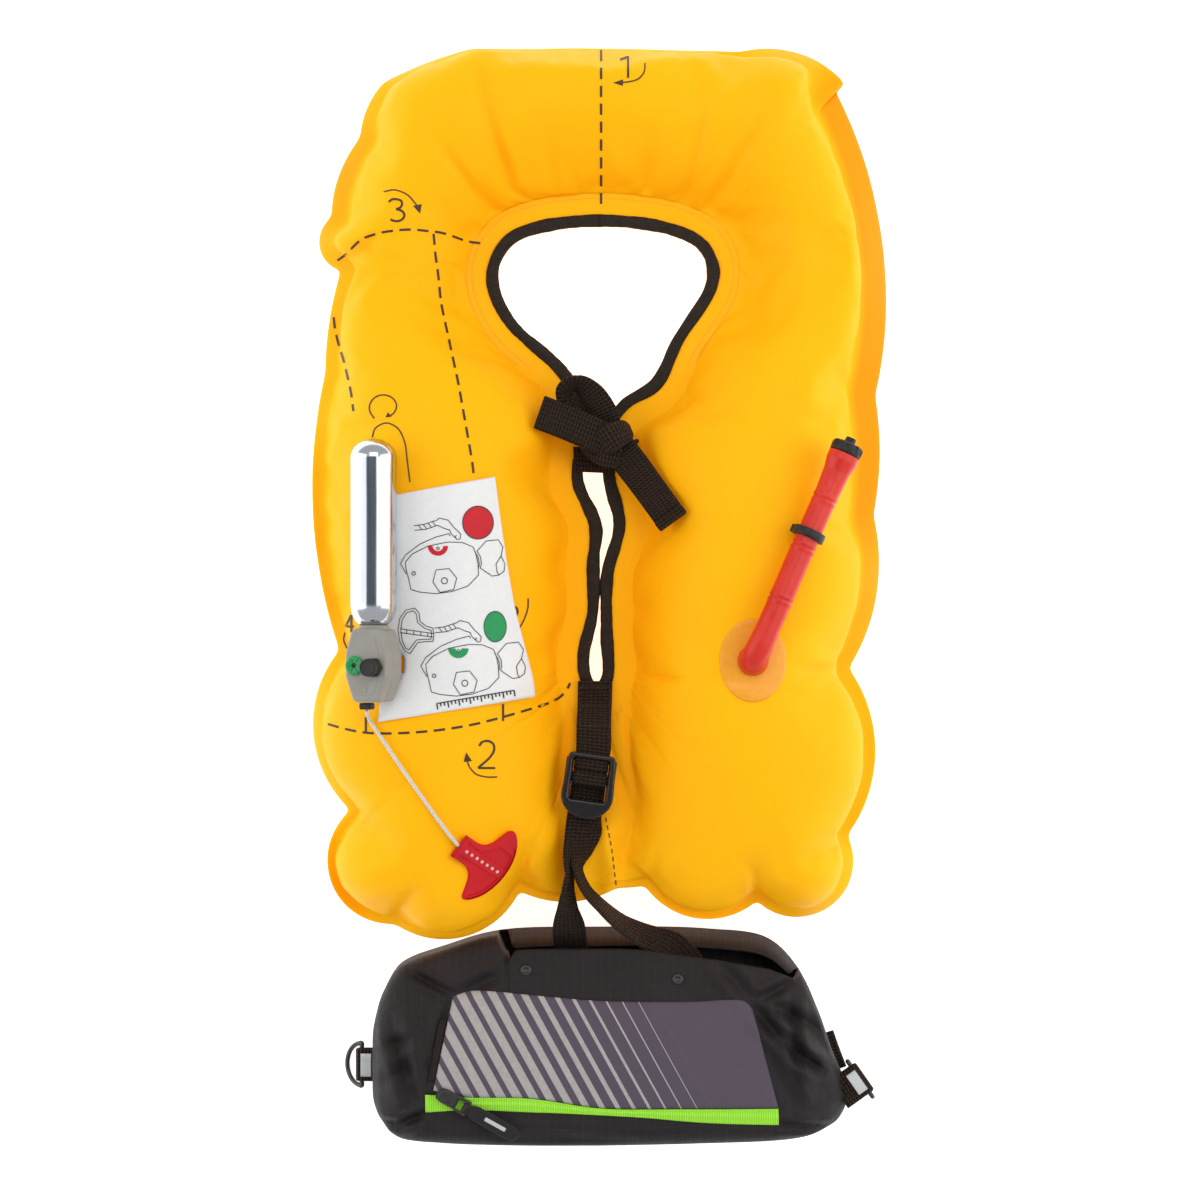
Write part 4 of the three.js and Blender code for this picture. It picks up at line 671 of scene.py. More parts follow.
def pucker_depth(plan, puckers):
    """Depth of sharp folds that fade at both ends, with a ridge on each side."""
    depth = np.zeros(len(plan))
    for x0, y0, x1, y1, deep, width in puckers:
        span = np.array([x1 - x0, y1 - y0])
        part = (plan - (x0, y0)) @ span / (span @ span)
        away = np.linalg.norm(plan - (x0, y0) - np.clip(part, 0, 1)[:, None] * span, axis=1)
        fade = np.sin(math.pi * np.clip(part * 0.9 + 0.05, 0, 1)) ** 0.7
        ridge = np.exp(-((away - 2.2 * width) / width) ** 2)
        depth += deep * fade * (np.exp(-np.abs(away / width) ** 1.4) - 0.6 * ridge)
    return depth


def swell_height(points):
    """Half height of the inflated bladder over its seam."""
    room = np.minimum(edge_room(points), inner_room(points))
    from_neck = weld_distance(points, INNER_WELD)
    soft = SLIT_SOFT + (NECK_SOFT - SLIT_SOFT) * smoothstep(points[:, 1], 115, 190)
    from_neck = from_neck ** 3 / (from_neck ** 2 + soft ** 2)
    swell = SWELL * np.sqrt(weld_distance(points, OUTER_WELD) * from_neck)
    swell = np.maximum(0, swell - np.minimum(fold_depth(points, CREASES), swell / 3))
    return np.where(room > 0, swell, 0) * smoothstep(room, 0, 1.5)


def spoke_feet(edge):
    """For each point of the flange edge, the point of the neck line at the other end of its section."""
    neck = smooth_line(NECK, 1200, True)
    neck_at = [int(distances(spoke[None, 2:], neck).argmin()) for spoke in SPOKES]
    edge_at = [int(distances(spoke[None, :2], edge).argmin()) for spoke in SPOKES]
    run = length_along(edge[:, :2])
    total = run[-1] + np.linalg.norm(edge[0, :2] - edge[-1, :2])
    feet = np.zeros((len(edge), 2))
    for s in range(len(SPOKES)):
        t = (s + 1) % len(SPOKES)
        span = (run[edge_at[t]] - run[edge_at[s]]) % total
        along = (run - run[edge_at[s]]) % total
        held = along <= span
        reach = (neck_at[t] - neck_at[s]) % len(neck)
        feet[held] = neck[(neck_at[s] + np.round(reach * along[held] / span).astype(int)) % len(neck)]
    return feet


def first_open(start, end, room):
    """Part of the way from each start to its end at which the room turns positive."""
    parts = np.linspace(0, 1, 121)
    spots = start[:, None, :] + (end - start)[:, None, :] * parts[None, :, None]
    values = room(spots.reshape(-1, 2)).reshape(len(start), -1)
    first = np.maximum(1, (values > 0).argmax(1))
    row = np.arange(len(start))
    low, high = values[row, first - 1], values[row, first]
    return parts[first - 1] + (parts[1]) * np.clip(-low / (high - low), 0, 1)


def make_bladder():
    edge = flange_edge(EDGE_STEP)
    outer = edge[:, :2]
    inner = spoke_feet(edge)
    length = np.linalg.norm(outer - inner, axis=1)
    neck_weld = first_open(inner, outer, neck_room)
    edge_weld = 1 - first_open(outer, inner, edge_room)
    rows = (1 - np.cos(math.pi * np.arange(SWELL_ROWS + 2) / (SWELL_ROWS + 1))) / 2
    parts = [NECK_EDGE / length, (NECK_EDGE / length + neck_weld) / 2]
    parts += [neck_weld + (edge_weld - neck_weld) * row for row in rows]
    parts += [edge_weld + (1 - edge_weld) * (k + 1) / FLANGE_ROWS for k in range(FLANGE_ROWS)]
    parts = np.array(parts).T
    plan = inner[:, None, :] + (outer - inner)[:, None, :] * parts[:, :, None]
    count, columns = parts.shape
    flat = plan.reshape(-1, 2)
    swell = swell_height(flat).reshape(count, columns)
    swelling = np.zeros(columns, bool)
    swelling[3:3 + SWELL_ROWS] = True
    swell[:, ~swelling] = 0
    curl = np.zeros((count, columns))
    wave = FLANGE_WAVE * ripple(np.column_stack([outer, np.zeros(count)]), 42, 12)
    for k in range(FLANGE_ROWS):
        part = (k + 1) / FLANGE_ROWS
        fall = (edge[:, 3] + wave) * part ** 1.5 - FLANGE_DROOP * edge[:, 2] * part
        curl[:, columns - FLANGE_ROWS + k] = fall
    seam = seam_height(flat[:, 1]) - fold_depth(flat, PLEAT)
    seam = seam.reshape(count, columns) + curl
    top = np.dstack([plan, seam + SHEET_HALF + swell])
    under = np.dstack([plan, np.maximum(0.6, seam - SHEET_HALF - swell)])
    sections = np.concatenate([top, under[:, ::-1]], axis=1)
    points, faces = lofted(sections, ring=True)
    free = np.concatenate([swelling, swelling[::-1]])
    # Flange rows get a weight for painted shade, more on wide flanges, kept as the third value of the cloth
    # chart.
    rim = np.zeros((count, 2 * columns))
    rim[:, columns - FLANGE_ROWS:columns + FLANGE_ROWS] = smoothstep(edge[:, 2], 5, 16)[:, None]
    chart = np.column_stack([points[:, :2], rim.ravel()])
    skin = piece("bladder_skin", points, faces, CLOTH, "bladder", "bladder_cloth", chart=chart)
    return skin, np.tile(free, count)


def inflate(skin, free):
    """Lets the cloth settle under air pressure between its welds, with a little slack to pucker."""
    pins = skin.vertex_groups.new(name="welds")
    pins.add(np.flatnonzero(~free).tolist(), 1.0, "REPLACE")
    start = np.array([v.co for v in skin.data.vertices])
    cloth = skin.modifiers.new("air", "CLOTH")
    cloth.settings.vertex_group_mass = pins.name
    cloth.settings.quality = 4
    cloth.settings.mass = 0.2
    cloth.settings.tension_stiffness = 30
    cloth.settings.compression_stiffness = 12
    cloth.settings.shear_stiffness = 6
    cloth.settings.bending_stiffness = 0.3
    cloth.settings.use_pressure = True
    cloth.settings.uniform_pressure_force = PRESSURE
    cloth.settings.shrink_min = -0.035
    cloth.settings.effector_weights.gravity = 0
    cloth.collision_settings.use_collision = False
    scene = bpy.context.scene
    for step in range(1, 21):
        scene.frame_set(step)
    graph = bpy.context.evaluated_depsgraph_get()
    settled = np.array([v.co for v in skin.evaluated_get(graph).data.vertices])
    skin.modifiers.remove(cloth)
    skin.vertex_groups.remove(pins)
    scene.frame_set(1)
    plan = start[:, :2] / MM
    room = np.minimum(edge_room(plan), inner_room(plan))
    moved = (settled - start) * (1 - 0.75 * smoothstep(room, 10, 40))[:, None]
    far = np.linalg.norm(moved, axis=1)
    cap = np.minimum(1, MOST_MOVED * MM / np.maximum(far, 1e-9))
    placed = start + moved * cap[:, None]
    placed[:, 2] = np.maximum(placed[:, 2], 0.5 * MM)
    skin.data.vertices.foreach_set("co", placed.ravel())
    skin.data.update()


def settle(thing):
    """Keeps the shape that a piece's modifiers give it, and takes them off."""
    graph = bpy.context.evaluated_depsgraph_get()
    mesh = bpy.data.meshes.new_from_object(thing.evaluated_get(graph), depsgraph=graph)
    thing.modifiers.clear()
    thing.data = mesh


def refine(skin):
    """Smooths the settled cloth and presses the sharp puckers into its upper side."""
    skin.modifiers.new("fine", "SUBSURF").levels = 1
    settle(skin)
    points = np.array([v.co for v in skin.data.vertices]) / MM
    plan = points[:, :2]
    upper = smoothstep(points[:, 2] - seam_height(plan[:, 1]), 1, 7)
    points[:, 2] -= upper * pucker_depth(plan, PUCKERS)
    skin.data.vertices.foreach_set("co", (points * MM).ravel())
    skin.data.update()


skin, free_points = make_bladder()
inflate(skin, free_points)
refine(skin)


class Surface:
    """A finished skin that other pieces lie on."""

    def __init__(self, thing):
        mesh = thing.data
        self.tree = BVHTree.FromPolygons([v.co for v in mesh.vertices], [p.vertices for p in mesh.polygons])

    def height(self, x, y):
        """Height of its upper side over a place in plan, in millimetres."""
        hit = self.tree.ray_cast(Vector((x * MM, y * MM, 1)), Vector((0, 0, -1)))[0]
        return hit.z / MM if hit else 0.0

    def highest(self, x, y, reach):
        around = [(math.cos(a), math.sin(a)) for a in np.arange(8) * math.pi / 4]
        return max([self.height(x, y)] + [self.height(x + u * reach, y + v * reach) for u, v in around])

    def seen(self, x, y, rise):
        """Where the sight line through a place at seam height meets the skin, lifted off it by rise."""
        through = np.array([x, y, SEAM_Z])
        way = Vector(through - CAMERA).normalized()
        hit, normal, _, _ = self.tree.ray_cast(Vector(CAMERA * MM), way)
        if hit is None:
            return np.array([x, y, SEAM_Z + rise])
        if normal.z < 0:
            normal = -normal
        return np.array(hit + normal * rise * MM) / MM


lobes = Surface(skin)


# Straps: rows of place, heading of the width, tip of the width out of the level and width
WEBBING_WIDE = 19
WEBBING_THICK = 1.5
TAPE_HALF = 2.5
TAPE_WIDTH = 7.0
STRAP_MARGIN = 4
LOCK = {"x": -6.7, "y": -104, "z": 65, "turn": -8, "width": 29, "thick": 4, "top": 18, "fixed_bar": 14.5,
        "bar_top": 6, "bar_low": 2.5, "lip": -8, "bottom": -18}


def full_row(row):
    return [*row, *(0, 0, WEBBING_WIDE)[len(row) - 3:]]


def strap_skin(rows, thick=WEBBING_THICK, per=7):
    """Points, faces and chart of a webbing strap with soft edges."""
    rows = np.array([full_row(row) for row in rows], float)
    middle = curve(rows[:, :3], per)
    at = np.linspace(0, len(rows) - 1, len(middle))
    heading, tip, width = (np.interp(at, np.arange(len(rows)), rows[:, k]) for k in (3, 4, 5))
    heading, tip = np.radians(heading), np.radians(tip)
    level = np.cos(tip)
    across = np.column_stack([np.cos(heading) * level, np.sin(heading) * level, np.sin(tip)])
    normal = np.cross(np.gradient(middle, axis=0), across)
    normal /= np.linalg.norm(normal, axis=1)[:, None]
    run = length_along(middle)
    flat = np.linspace(-1, 1, 7)
    sides = np.concatenate([flat, [1.0], flat[::-1], [-1.0]])
    faces_up = np.concatenate([np.ones(7), [0.0], -np.ones(7), [0.0]])
    inset = np.where(faces_up == 0, 0, thick * 0.45)
    reach = sides * (width[:, None] / 2 - inset)
    points = middle[:, None, :] + across[:, None, :] * reach[:, :, None]
    points = points + normal[:, None, :] * (faces_up * thick / 2)[None, :, None]
    chart = np.dstack([reach, np.repeat(run[:, None], len(sides), 1)]).reshape(-1, 2)
    return (*lofted(points), chart)


def gathered(skins):
    """Several skins as one set of points, faces and chart."""
    points, faces, charts = [], [], []
    count = 0
    for some, links, chart in skins:
        points.append(some)
        faces += [tuple(k + count for k in face) for face in links]
        charts.append(chart)
        count += len(some)
    return np.vstack(points), faces, np.vstack(charts)


def over_lobes(rows):
    """The same rows, raised where the strap would cut into the bladder."""
    raised = []
    for row in rows:
        x, y, z, across, tip, width = full_row(row)
        heading, lean = math.radians(across), math.radians(tip)
        needed = []
        for side in (-1, -0.5, 0, 0.5, 1):
            reach = side * width / 2
            flat = reach * math.cos(lean)
            high = lobes.highest(x + flat * math.cos(heading), y + flat * math.sin(heading), STRAP_MARGIN)
            needed.append(high - reach * math.sin(lean))
        raised.append((x, y, max(z, max(needed) + WEBBING_THICK / 2 + 0.3), across, tip, width))
    return raised


def strap(name, rows, node, thick=WEBBING_THICK, slot="webbing", finish=None):
    points, faces, chart = strap_skin(rows, thick)
    return piece(name, points, faces, finish or WEBBING, node, slot, chart=chart)


def make_binding():
    """Tape folded over the edge of the neck and the slit, with slight gathers."""
    line = smooth_line(NECK, 520, True)
    tangent = np.roll(line, -1, 0) - np.roll(line, 1, 0)
    tangent /= np.linalg.norm(tangent, axis=1)[:, None]
    to_hole = np.column_stack([tangent[:, 1], -tangent[:, 0]])
    run = length_along(line)
    spots = np.column_stack([line, np.zeros(len(line))])
    wavy = ripple(spots, 26, 4)
    gather = ripple(spots, 7, 9)
    angles = np.linspace(0, 2 * math.pi, 16, endpoint=False)
    wide = np.sign(np.cos(angles)) * np.abs(np.cos(angles)) ** 0.55
    tall = np.sign(np.sin(angles)) * np.abs(np.sin(angles)) ** 0.8
    half_wide = TAPE_WIDTH / 2 + 0.30 * wavy + 0.24 * gather
    half_tall = TAPE_HALF + 0.3 * gather
    reach = wide[None, :] * half_wide[:, None]
    rise = tall[None, :] * half_tall[:, None]
    plan = line[:, None, :] + to_hole[:, None, :] * reach[:, :, None]
    points = np.dstack([plan, seam_height(line[:, 1])[:, None] + rise])
    points, faces = lofted(points, ring=True)
    chart = np.dstack([reach, np.repeat(run[:, None], len(angles), 1)]).reshape(-1, 2)
    return piece("neck_tape", points, faces, TAPE, "neck_binding", "webbing", chart=chart)


def make_tie():
    """Half bow: a standing loop, two tails, the crossing under them and the wrap over the knot."""
    loop = [(5, 90, 70, 18, 20, 17), (1, 103, 75, 22, 24, 17), (-6, 113.5, 78, 36, 38, 17),
            (-13.5, 118, 79, 76, 62, 17), (-19.5, 114, 77, 150, 52, 16), (-16, 106, 72, 215, 36, 16),
            (-5, 96, 67, 235, 30, 16)]
    left_tail = over_lobes([(9, 84, 74, 70), (-6, 91, 80, 70), (-20, 97, 80, 70), (-33.5, 102, 80, 71)])
    right_tail = over_lobes([(4, 90, 74, 36, 8), (16, 75, 76, 36, 14), (27, 60, 79, 36, 22),
                             (35.5, 48, 83, 36, 22)])
    end = right_tail[-1][2]
    right_tail += [(39, 43, end + 1.5, 36, 22), (39.6, 42.2, end + 4, 36, 20), (37, 45.5, end + 5.6, 36, 18)]
    wrap = [(-5, 78, 60, 126, 4, 9), (-2, 82, 73, 126, 2, 13), (6, 88.5, 82, 122, -8, 17),
            (13.5, 92, 76.5, 116, -22, 15), (16, 92.5, 64, 112, -32, 10)]
    under_wrap = [(-12, 90, 66, 100, 20, 16), (-6, 84, 74, 92, 12, 16), (3, 80, 77, 80, 0, 16),
                  (12, 79, 74, 66, -14, 16), (17, 83, 65, 52, -30, 15)]
    height = SEAM_Z + TAPE_HALF + 1.35
    crosspiece = [(-15, 77, height, 92, 0, 14), (8, 76, height, 92, 0, 14)]
    skins = [strap_skin(rows, thick) for rows, thick in (
        (loop, 1.5), (left_tail, 1.8), (right_tail, 1.8), (wrap, 3), (under_wrap, 2.4), (crosspiece, 2))]
    points, faces, chart = gathered(skins)
    return piece("tie_bow", points, faces, WEBBING, "neck_tie", "webbing", chart=chart)


def lock_row(up, z):
    turn = math.radians(LOCK["turn"])
    return LOCK["x"] - up * math.sin(turn), LOCK["y"] + up * math.cos(turn), z, LOCK["turn"]


def make_tab():
    """Doubled webbing from the foot of the slit round the adjuster's fixed bar."""
    foot = SEAM_Z + TAPE_HALF + 0.35 + WEBBING_THICK / 2
    over = LOCK["z"] + LOCK["thick"] + 1.35
    under = LOCK["z"] - 1.35
    in_slot = LOCK["fixed_bar"] - 5.1
    return strap("tab_webbing", [
        (-3, -46, foot), (-3.2, -57, foot + 0.4), (-3.8, -72, over - 1.2, -4),
        lock_row(LOCK["top"], over), lock_row(LOCK["fixed_bar"] + 0.8, over + 0.1),
        lock_row(in_slot, over - 0.6), lock_row(in_slot - 0.1, LOCK["z"] + LOCK["thick"] / 2),
        lock_row(in_slot, under + 0.6), lock_row(LOCK["fixed_bar"] + 0.8, under - 0.1),
        lock_row(LOCK["top"] + 4, under - 0.5), (-3.6, -68, foot - 1.3, -2),
    ], "tab_strap")


def make_adjuster_strap():
    """One strap over the adjuster's middle bar, with both legs running down into the pouch."""
    over = LOCK["z"] + LOCK["thick"] + 1.7
    under = LOCK["z"] - 1.2
    lowest = under - WEBBING_THICK - 0.35
    bar_top, bar_low, top = LOCK["bar_top"], LOCK["bar_low"], LOCK["z"] + LOCK["thick"]
    right_leg = over_lobes([
        (-8.6, -130, 59.6, 0, -12), (-10.5, -141, 64, 0, -50), (-12.5, -150, 68, 12, -76),
        (-8, -161, 68, 35, -76), (1, -171, 63, 45, -72), (11, -180, 55, 48, -64), (24, -188, 43, 50, -45),
    ])
    left_leg = over_lobes([
        (-11.5, -133, 64, 0, -25), (-15, -142, 70, 0, -55), (-17, -152, 72, 0, -78),
        (-18, -162, 70, 0, -70), (-18.2, -172, 64, 0, -52), (-17.6, -181, 55, 0, -22),
    ])
    return strap("adjuster_webbing", [
        (58, -246, 3.1), (57, -226, 8, 10), (50, -208, 17, 30), (39, -195, 30, 50, -20),
        *reversed(right_leg),
        lock_row(LOCK["bottom"] + 2, lowest), lock_row(bar_low - 1, lowest + 0.1),
        lock_row(bar_top + 0.4, lowest + 0.7), lock_row(bar_top + 1.6, LOCK["z"]),
        lock_row(bar_top + 1.6, top - 0.6), lock_row(bar_top + 0.5, over), lock_row(bar_low - 0.5, over),
        lock_row(bar_low - 1.6, top - 0.6), lock_row(bar_low - 1.8, LOCK["z"] + 1),
        lock_row(bar_low - 3.6, under + 0.1), lock_row(LOCK["lip"], under),
        lock_row(LOCK["bottom"] + 1, under),
        *left_leg,
        (-17, -191, 40), (-14, -207, 22), (-12, -226, 9), (-12, -246, 3.1),
    ], "adjuster_strap")


make_binding()
make_tie()
tab = make_tab()
make_adjuster_strap()


# Moulded plates and turned pieces
def plate(outlines, thick, bevel, segments=3):
    """Points and faces of a flat plate with rounded edges; outlines after the first are holes."""
    flat = bpy.data.curves.new("plate", "CURVE")
    flat.dimensions = "2D"
    flat.fill_mode = "BOTH"
    flat.extrude = (thick / 2 - bevel) * MM
    flat.bevel_depth = bevel * MM
    flat.bevel_resolution = segments
    flat.offset = -bevel * MM
    for outline in outlines:
        spline = flat.splines.new("POLY")
        spline.points.add(len(outline) - 1)
        spline.use_cyclic_u = True
        for point, (x, y) in zip(spline.points, outline):
            point.co = (x * MM, y * MM, 0, 1)
    thing = bpy.data.objects.new("plate", flat)
    mesh = thing.to_mesh()
    points = np.array([v.co for v in mesh.vertices]) / MM
    faces = [tuple(p.vertices) for p in mesh.polygons]
    thing.to_mesh_clear()
    bpy.data.objects.remove(thing)
    bpy.data.curves.remove(flat)
    points[:, 2] += thick / 2
    return points, faces


def rounded(corners, radius, steps=5):
    """A closed outline with its corners rounded."""
    corners = np.asarray(corners, float)
    outline = []
    for i, corner in enumerate(corners):
        before, after = corners[i - 1], corners[(i + 1) % len(corners)]
        back = (before - corner) / np.linalg.norm(before - corner)
        ahead = (after - corner) / np.linalg.norm(after - corner)
        half = math.acos(np.clip(back @ ahead, -1, 1)) / 2
        room = min(np.linalg.norm(before - corner), np.linalg.norm(after - corner)) / 2
        cut = min(radius / math.tan(half), room)
        start, end = corner + back * cut, corner + ahead * cut
        for part in np.linspace(0, 1, steps):
            outline.append((1 - part) ** 2 * start + 2 * part * (1 - part) * corner + part ** 2 * end)
    return np.array(outline)


def bar_outline(left, low, right, high, radius):
    """Outline of a rectangle with rounded corners."""
    return rounded([(left, low), (right, low), (right, high), (left, high)], radius)


def turned(profile, sides=40):
    """Points and faces of a piece turned about Z from radius and height pairs."""
    profile = np.asarray(profile, float)
    angles = np.linspace(0, 2 * math.pi, sides, endpoint=False)
    around = np.column_stack([np.cos(angles), np.sin(angles)])
    sections = [np.column_stack([around * max(radius, 0.02), np.full(sides, height)])
                for radius, height in profile]
    return lofted(sections)


def bevelled(profile, radius, steps=3):
    """A turning profile with its inner corners rounded."""
    line = [np.asarray(profile[0], float)]
    for before, corner, after in zip(profile, profile[1:], profile[2:]):
        before, corner, after = (np.asarray(p, float) for p in (before, corner, after))
        cut = min(radius, np.linalg.norm(before - corner) / 2.1, np.linalg.norm(after - corner) / 2.1)
        start = corner + (before - corner) / np.linalg.norm(before - corner) * cut
        end = corner + (after - corner) / np.linalg.norm(after - corner) * cut
        for part in np.linspace(0, 1, steps):
            line.append((1 - part) ** 2 * start + 2 * part * (1 - part) * corner + part ** 2 * end)
    return [*line, np.asarray(profile[-1], float)]


def ring_profile(inner, low, outer, high, radius):
    """Turning profile of a plain ring, or of a pin where the inner radius is 0."""
    return bevelled([(inner, low), (outer, low), (outer, high), (inner, high)], radius)


def placed(skin, matrix):
    """A skin's points moved by a matrix in millimetres, with its faces."""
    points, faces = skin
    points = np.asarray(points, float)
    turn = np.array(matrix)
    return points @ turn[:3, :3].T + turn[:3, 3], faces


def merged(skins):
    points, faces = [], []
    count = 0
    for some, links in skins:
        points.append(np.asarray(some, float))
        faces += [tuple(k + count for k in face) for face in links]
        count += len(some)
    return np.vstack(points), faces


def frame_at(place, turn=0.0, axis="Z"):
    return Matrix.Translation(Vector(place)) @ Matrix.Rotation(turn, 4, axis)


def make_lock():
    """Ladder lock: a frame with two slots, round bars and a lip that stands up."""
    half = LOCK["width"] / 2
    slot_half = WEBBING_WIDE / 2 + 0.3
    foot = [(half * math.cos(a), LOCK["bottom"] + 13 + 13 * math.sin(a))
            for a in np.linspace(0, -math.pi, 17)]
    head = rounded([(half - 1.5, LOCK["top"]), (-half + 1.5, LOCK["top"]), (-half, 0), (half, 0)], 3.2)[:10]
    outline = np.vstack([head, foot[::-1]])
    slots = [bar_outline(-slot_half, low, slot_half, high, 1.6)
             for low, high in ((LOCK["bar_top"], LOCK["fixed_bar"] - 0.4), (LOCK["lip"], LOCK["bar_low"]))]
    body = plate([outline, *slots], LOCK["thick"], 0.9)
    lip = [(half * 0.93 * math.cos(a), LOCK["bottom"] + 12.4 + 11.4 * math.sin(a))
           for a in np.linspace(-0.25, -math.pi + 0.25, 15)]
    lip_top = [(-half * 0.70, LOCK["lip"] - 1.0), (half * 0.70, LOCK["lip"] - 1.0)]
    lip_plate = placed(plate([[*lip, *lip_top]], 5.2, 1.6, 5), frame_at((0, 0, LOCK["thick"] - 1.2)))
    window = bar_outline(-slot_half - 0.6, LOCK["lip"], slot_half + 0.6, LOCK["top"] - 2.4, 2)
    rim = placed(plate([outline, window], 2.4, 1.0), frame_at((0, 0, LOCK["thick"] + 2.3)))
    rails = [placed(plate([bar_outline(x - 1.5, -9, x + 1.5, 15.5, 1.2)], 3.6, 0.5),
                    frame_at((0, 0, LOCK["thick"] - 0.8))) for x in (-half + 2.0, half - 2.0)]
    place = frame_at((LOCK["x"], LOCK["y"], LOCK["z"]), math.radians(LOCK["turn"]))
    points, faces = placed(merged([body, lip_plate, rim, *rails]), place)
    return piece("lock_frame", points, faces, LOCK_BLACK, "ladder_lock", "lock_plastic")


make_lock()


# Inflator: everything in its own frame, seated where the solid cylinder lies
BODY_LEAN = -0.38
BODY_DEPTH = 21
INFLATOR = (-119, -36.5)
NECK_END, SHOULDER_LOW, SHOULDER_TOP, CYLINDER_TOP = 11, 21.5, 34, 123
CYLINDER_RADIUS, CYLINDER_NECK = 12.6, 5.5


def inflator_frame():
    low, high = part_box("co2_cylinder")
    axis_height = (low.z + high.z) / 2 / MM
    place = (*INFLATOR, axis_height - BODY_DEPTH / 2 * math.cos(BODY_LEAN))
    return frame_at(place, BODY_LEAN, "Y")


INFLATOR_FRAME = inflator_frame()


def on_inflator(name, skin, finish, node=None, slot=None):
    points, faces = placed(skin, INFLATOR_FRAME)
    return piece(name, points, faces, finish, node, slot)


def make_cylinder():
    profile = [(0, NECK_END), (CYLINDER_NECK, NECK_END), (CYLINDER_NECK, SHOULDER_LOW)]
    for turn in np.linspace(0.08, 1, 10) * math.pi / 2:
        radius = CYLINDER_NECK + (CYLINDER_RADIUS - CYLINDER_NECK) * math.sin(turn)
        profile.append((radius, SHOULDER_LOW + (SHOULDER_TOP - SHOULDER_LOW) * (1 - math.cos(turn))))
    dome = CYLINDER_RADIUS * 0.85
    profile += [(CYLINDER_RADIUS, y) for y in np.linspace(SHOULDER_TOP + 6, CYLINDER_TOP - dome, 6)]
    for angle in np.linspace(0.1, 1.5, 12):
        profile.append((CYLINDER_RADIUS * math.cos(angle), CYLINDER_TOP - dome + dome * math.sin(angle)))
    profile.append((0, CYLINDER_TOP))
    lying = frame_at((0, 0, BODY_DEPTH / 2), -math.pi / 2, "X")
    on_inflator("gas_cylinder", placed(turned(profile, 64), lying), ZINC, "co2_cylinder", "zinc_steel")


def make_inflator():
    outline = np.array([(-8.5, 20), (8.5, 20), (12.4, 7), (12.4, -6), (7.6, -20), (-7.6, -20), (-12.4, -6),
                        (-12.4, 7)])
    back = plate([rounded(outline * 0.985, 3.4)], 11.4, 1.3)
    seam = placed(plate([rounded(outline * 0.955, 3.2)], 1.2, 0.2), frame_at((0, 0, 10.9)))
    front = placed(plate([rounded(outline, 3.6)], 9.4, 1.9, 5), frame_at((0, 0, 11.6)))
    flat = placed(plate([rounded([(-5.6, 16.5), (5.6, 16.5), (8.6, 6), (8.6, -5), (5, -16), (-5, -16),
                                  (-8.6, -5), (-8.6, 6)], 2.4)], 0.7, 0.3), frame_at((-0.6, 0, 20.6)))
    collar = placed(turned(ring_profile(CYLINDER_NECK + 0.3, 0, 8.2, 3, 0.6)),
                    frame_at((0, 18.8, BODY_DEPTH / 2), -math.pi / 2, "X"))
    ring = placed(turned(ring_profile(1.1, 0, 2.0, 0.5, 0.2), 24), frame_at((-1, -13, 21.1)))
    on_inflator("inflator_housing", merged([back, seam, front, flat, collar, ring]), GREY, "inflator_body",
                "inflator_plastic")
    dial_profile = [(1.3, 0), (5.2, 0), (5.2, 1.4), (3.9, 1.9), (2.3, 1.5), (1.3, 1.5), (1.3, 0)]
    green = turned(bevelled(dial_profile, 0.3), 40)
    spokes = [placed(plate([bar_outline(1.9, -0.35, 4.6, 0.35, 0.3)], 0.5, 0.2),
                     frame_at((0, 0, 1.6), angle)) for angle in np.arange(6) * math.pi / 3]
    seat = frame_at((-6.2, 0, BODY_DEPTH + 0.35))
    on_inflator("indicator_disc", placed(merged([green, *spokes]), seat), GREEN, "arming_indicator",
                "indicator_plastic")
    pin = turned(ring_profile(0, 0, 1.25, 1.1, 0.3), 20)
    on_inflator("indicator_pin", placed(pin, seat), VALVE_BLACK, slot="inflator_plastic")
    hexagon = [(5.7 * math.cos(a), 5.7 * math.sin(a)) for a in np.arange(6) * math.pi / 3]
    nut = plate([rounded(hexagon, 0.8)], 3.4, 0.5)
    barrel = knurled([(0, 3), (4.9, 3), (4.75, 8.9), (4.0, 9.4), (3.4, 9.1), (0, 9.1)], 26, 0.16)
    on_inflator("inflator_nut", placed(merged([nut, barrel]), frame_at((5, -1, BODY_DEPTH + 0.35))),
                VALVE_BLACK, "inflator_cap", "valve_plastic")
    lever = placed(plate([bar_outline(-3.5, -1.8, 3.5, 1.8, 1.1)], 6, 0.8),
                   frame_at((-4, -22.15, BODY_DEPTH / 2 - 3)))
    on_inflator("cord_lever", lever, VALVE_BLACK, "inflator_lever", "inflator_plastic")


def knurled(profile, teeth, depth, sides=156):
    """A turned piece with rounded teeth round it."""
    points, faces = turned(bevelled(profile, 0.5), sides)
    radius = np.hypot(points[:, 0], points[:, 1])
    angle = np.arctan2(points[:, 1], points[:, 0])
    cut = 1 - np.clip(np.cos(angle * teeth) * 1.6, 0, 1) * depth / np.maximum(radius, 1) * (radius > 3.8)
    points[:, :2] *= cut[:, None]
    return points, faces


make_cylinder()
make_inflator()


# Mouth tube: foot, elbow and straight run, with its joints, ring and valve cap
TUBE_ROUTE = [(83, -34, 0.8), (83, -33.5, 5.6), (85, -29, 10), (90, -18, 11), (111, 30, 7), (132.5, 78, 2)]
TUBE_WIDTHS = [(0, 8.4), (0.04, 7.4), (0.2, 6.6), (0.8, 6.6), (0.92, 7.4), (0.97, 8.6), (1, 8.6)]
TUBE_JOINTS = [0.33, 0.57, 0.79]
CLIP_PART = 0.63
TUBE_RISE = 17.6


def tube_line(count):
    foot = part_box("oral_tube")[1].z / MM - TUBE_RISE
    return smooth_line([(x, y, foot + rise) for x, y, rise in TUBE_ROUTE], count)


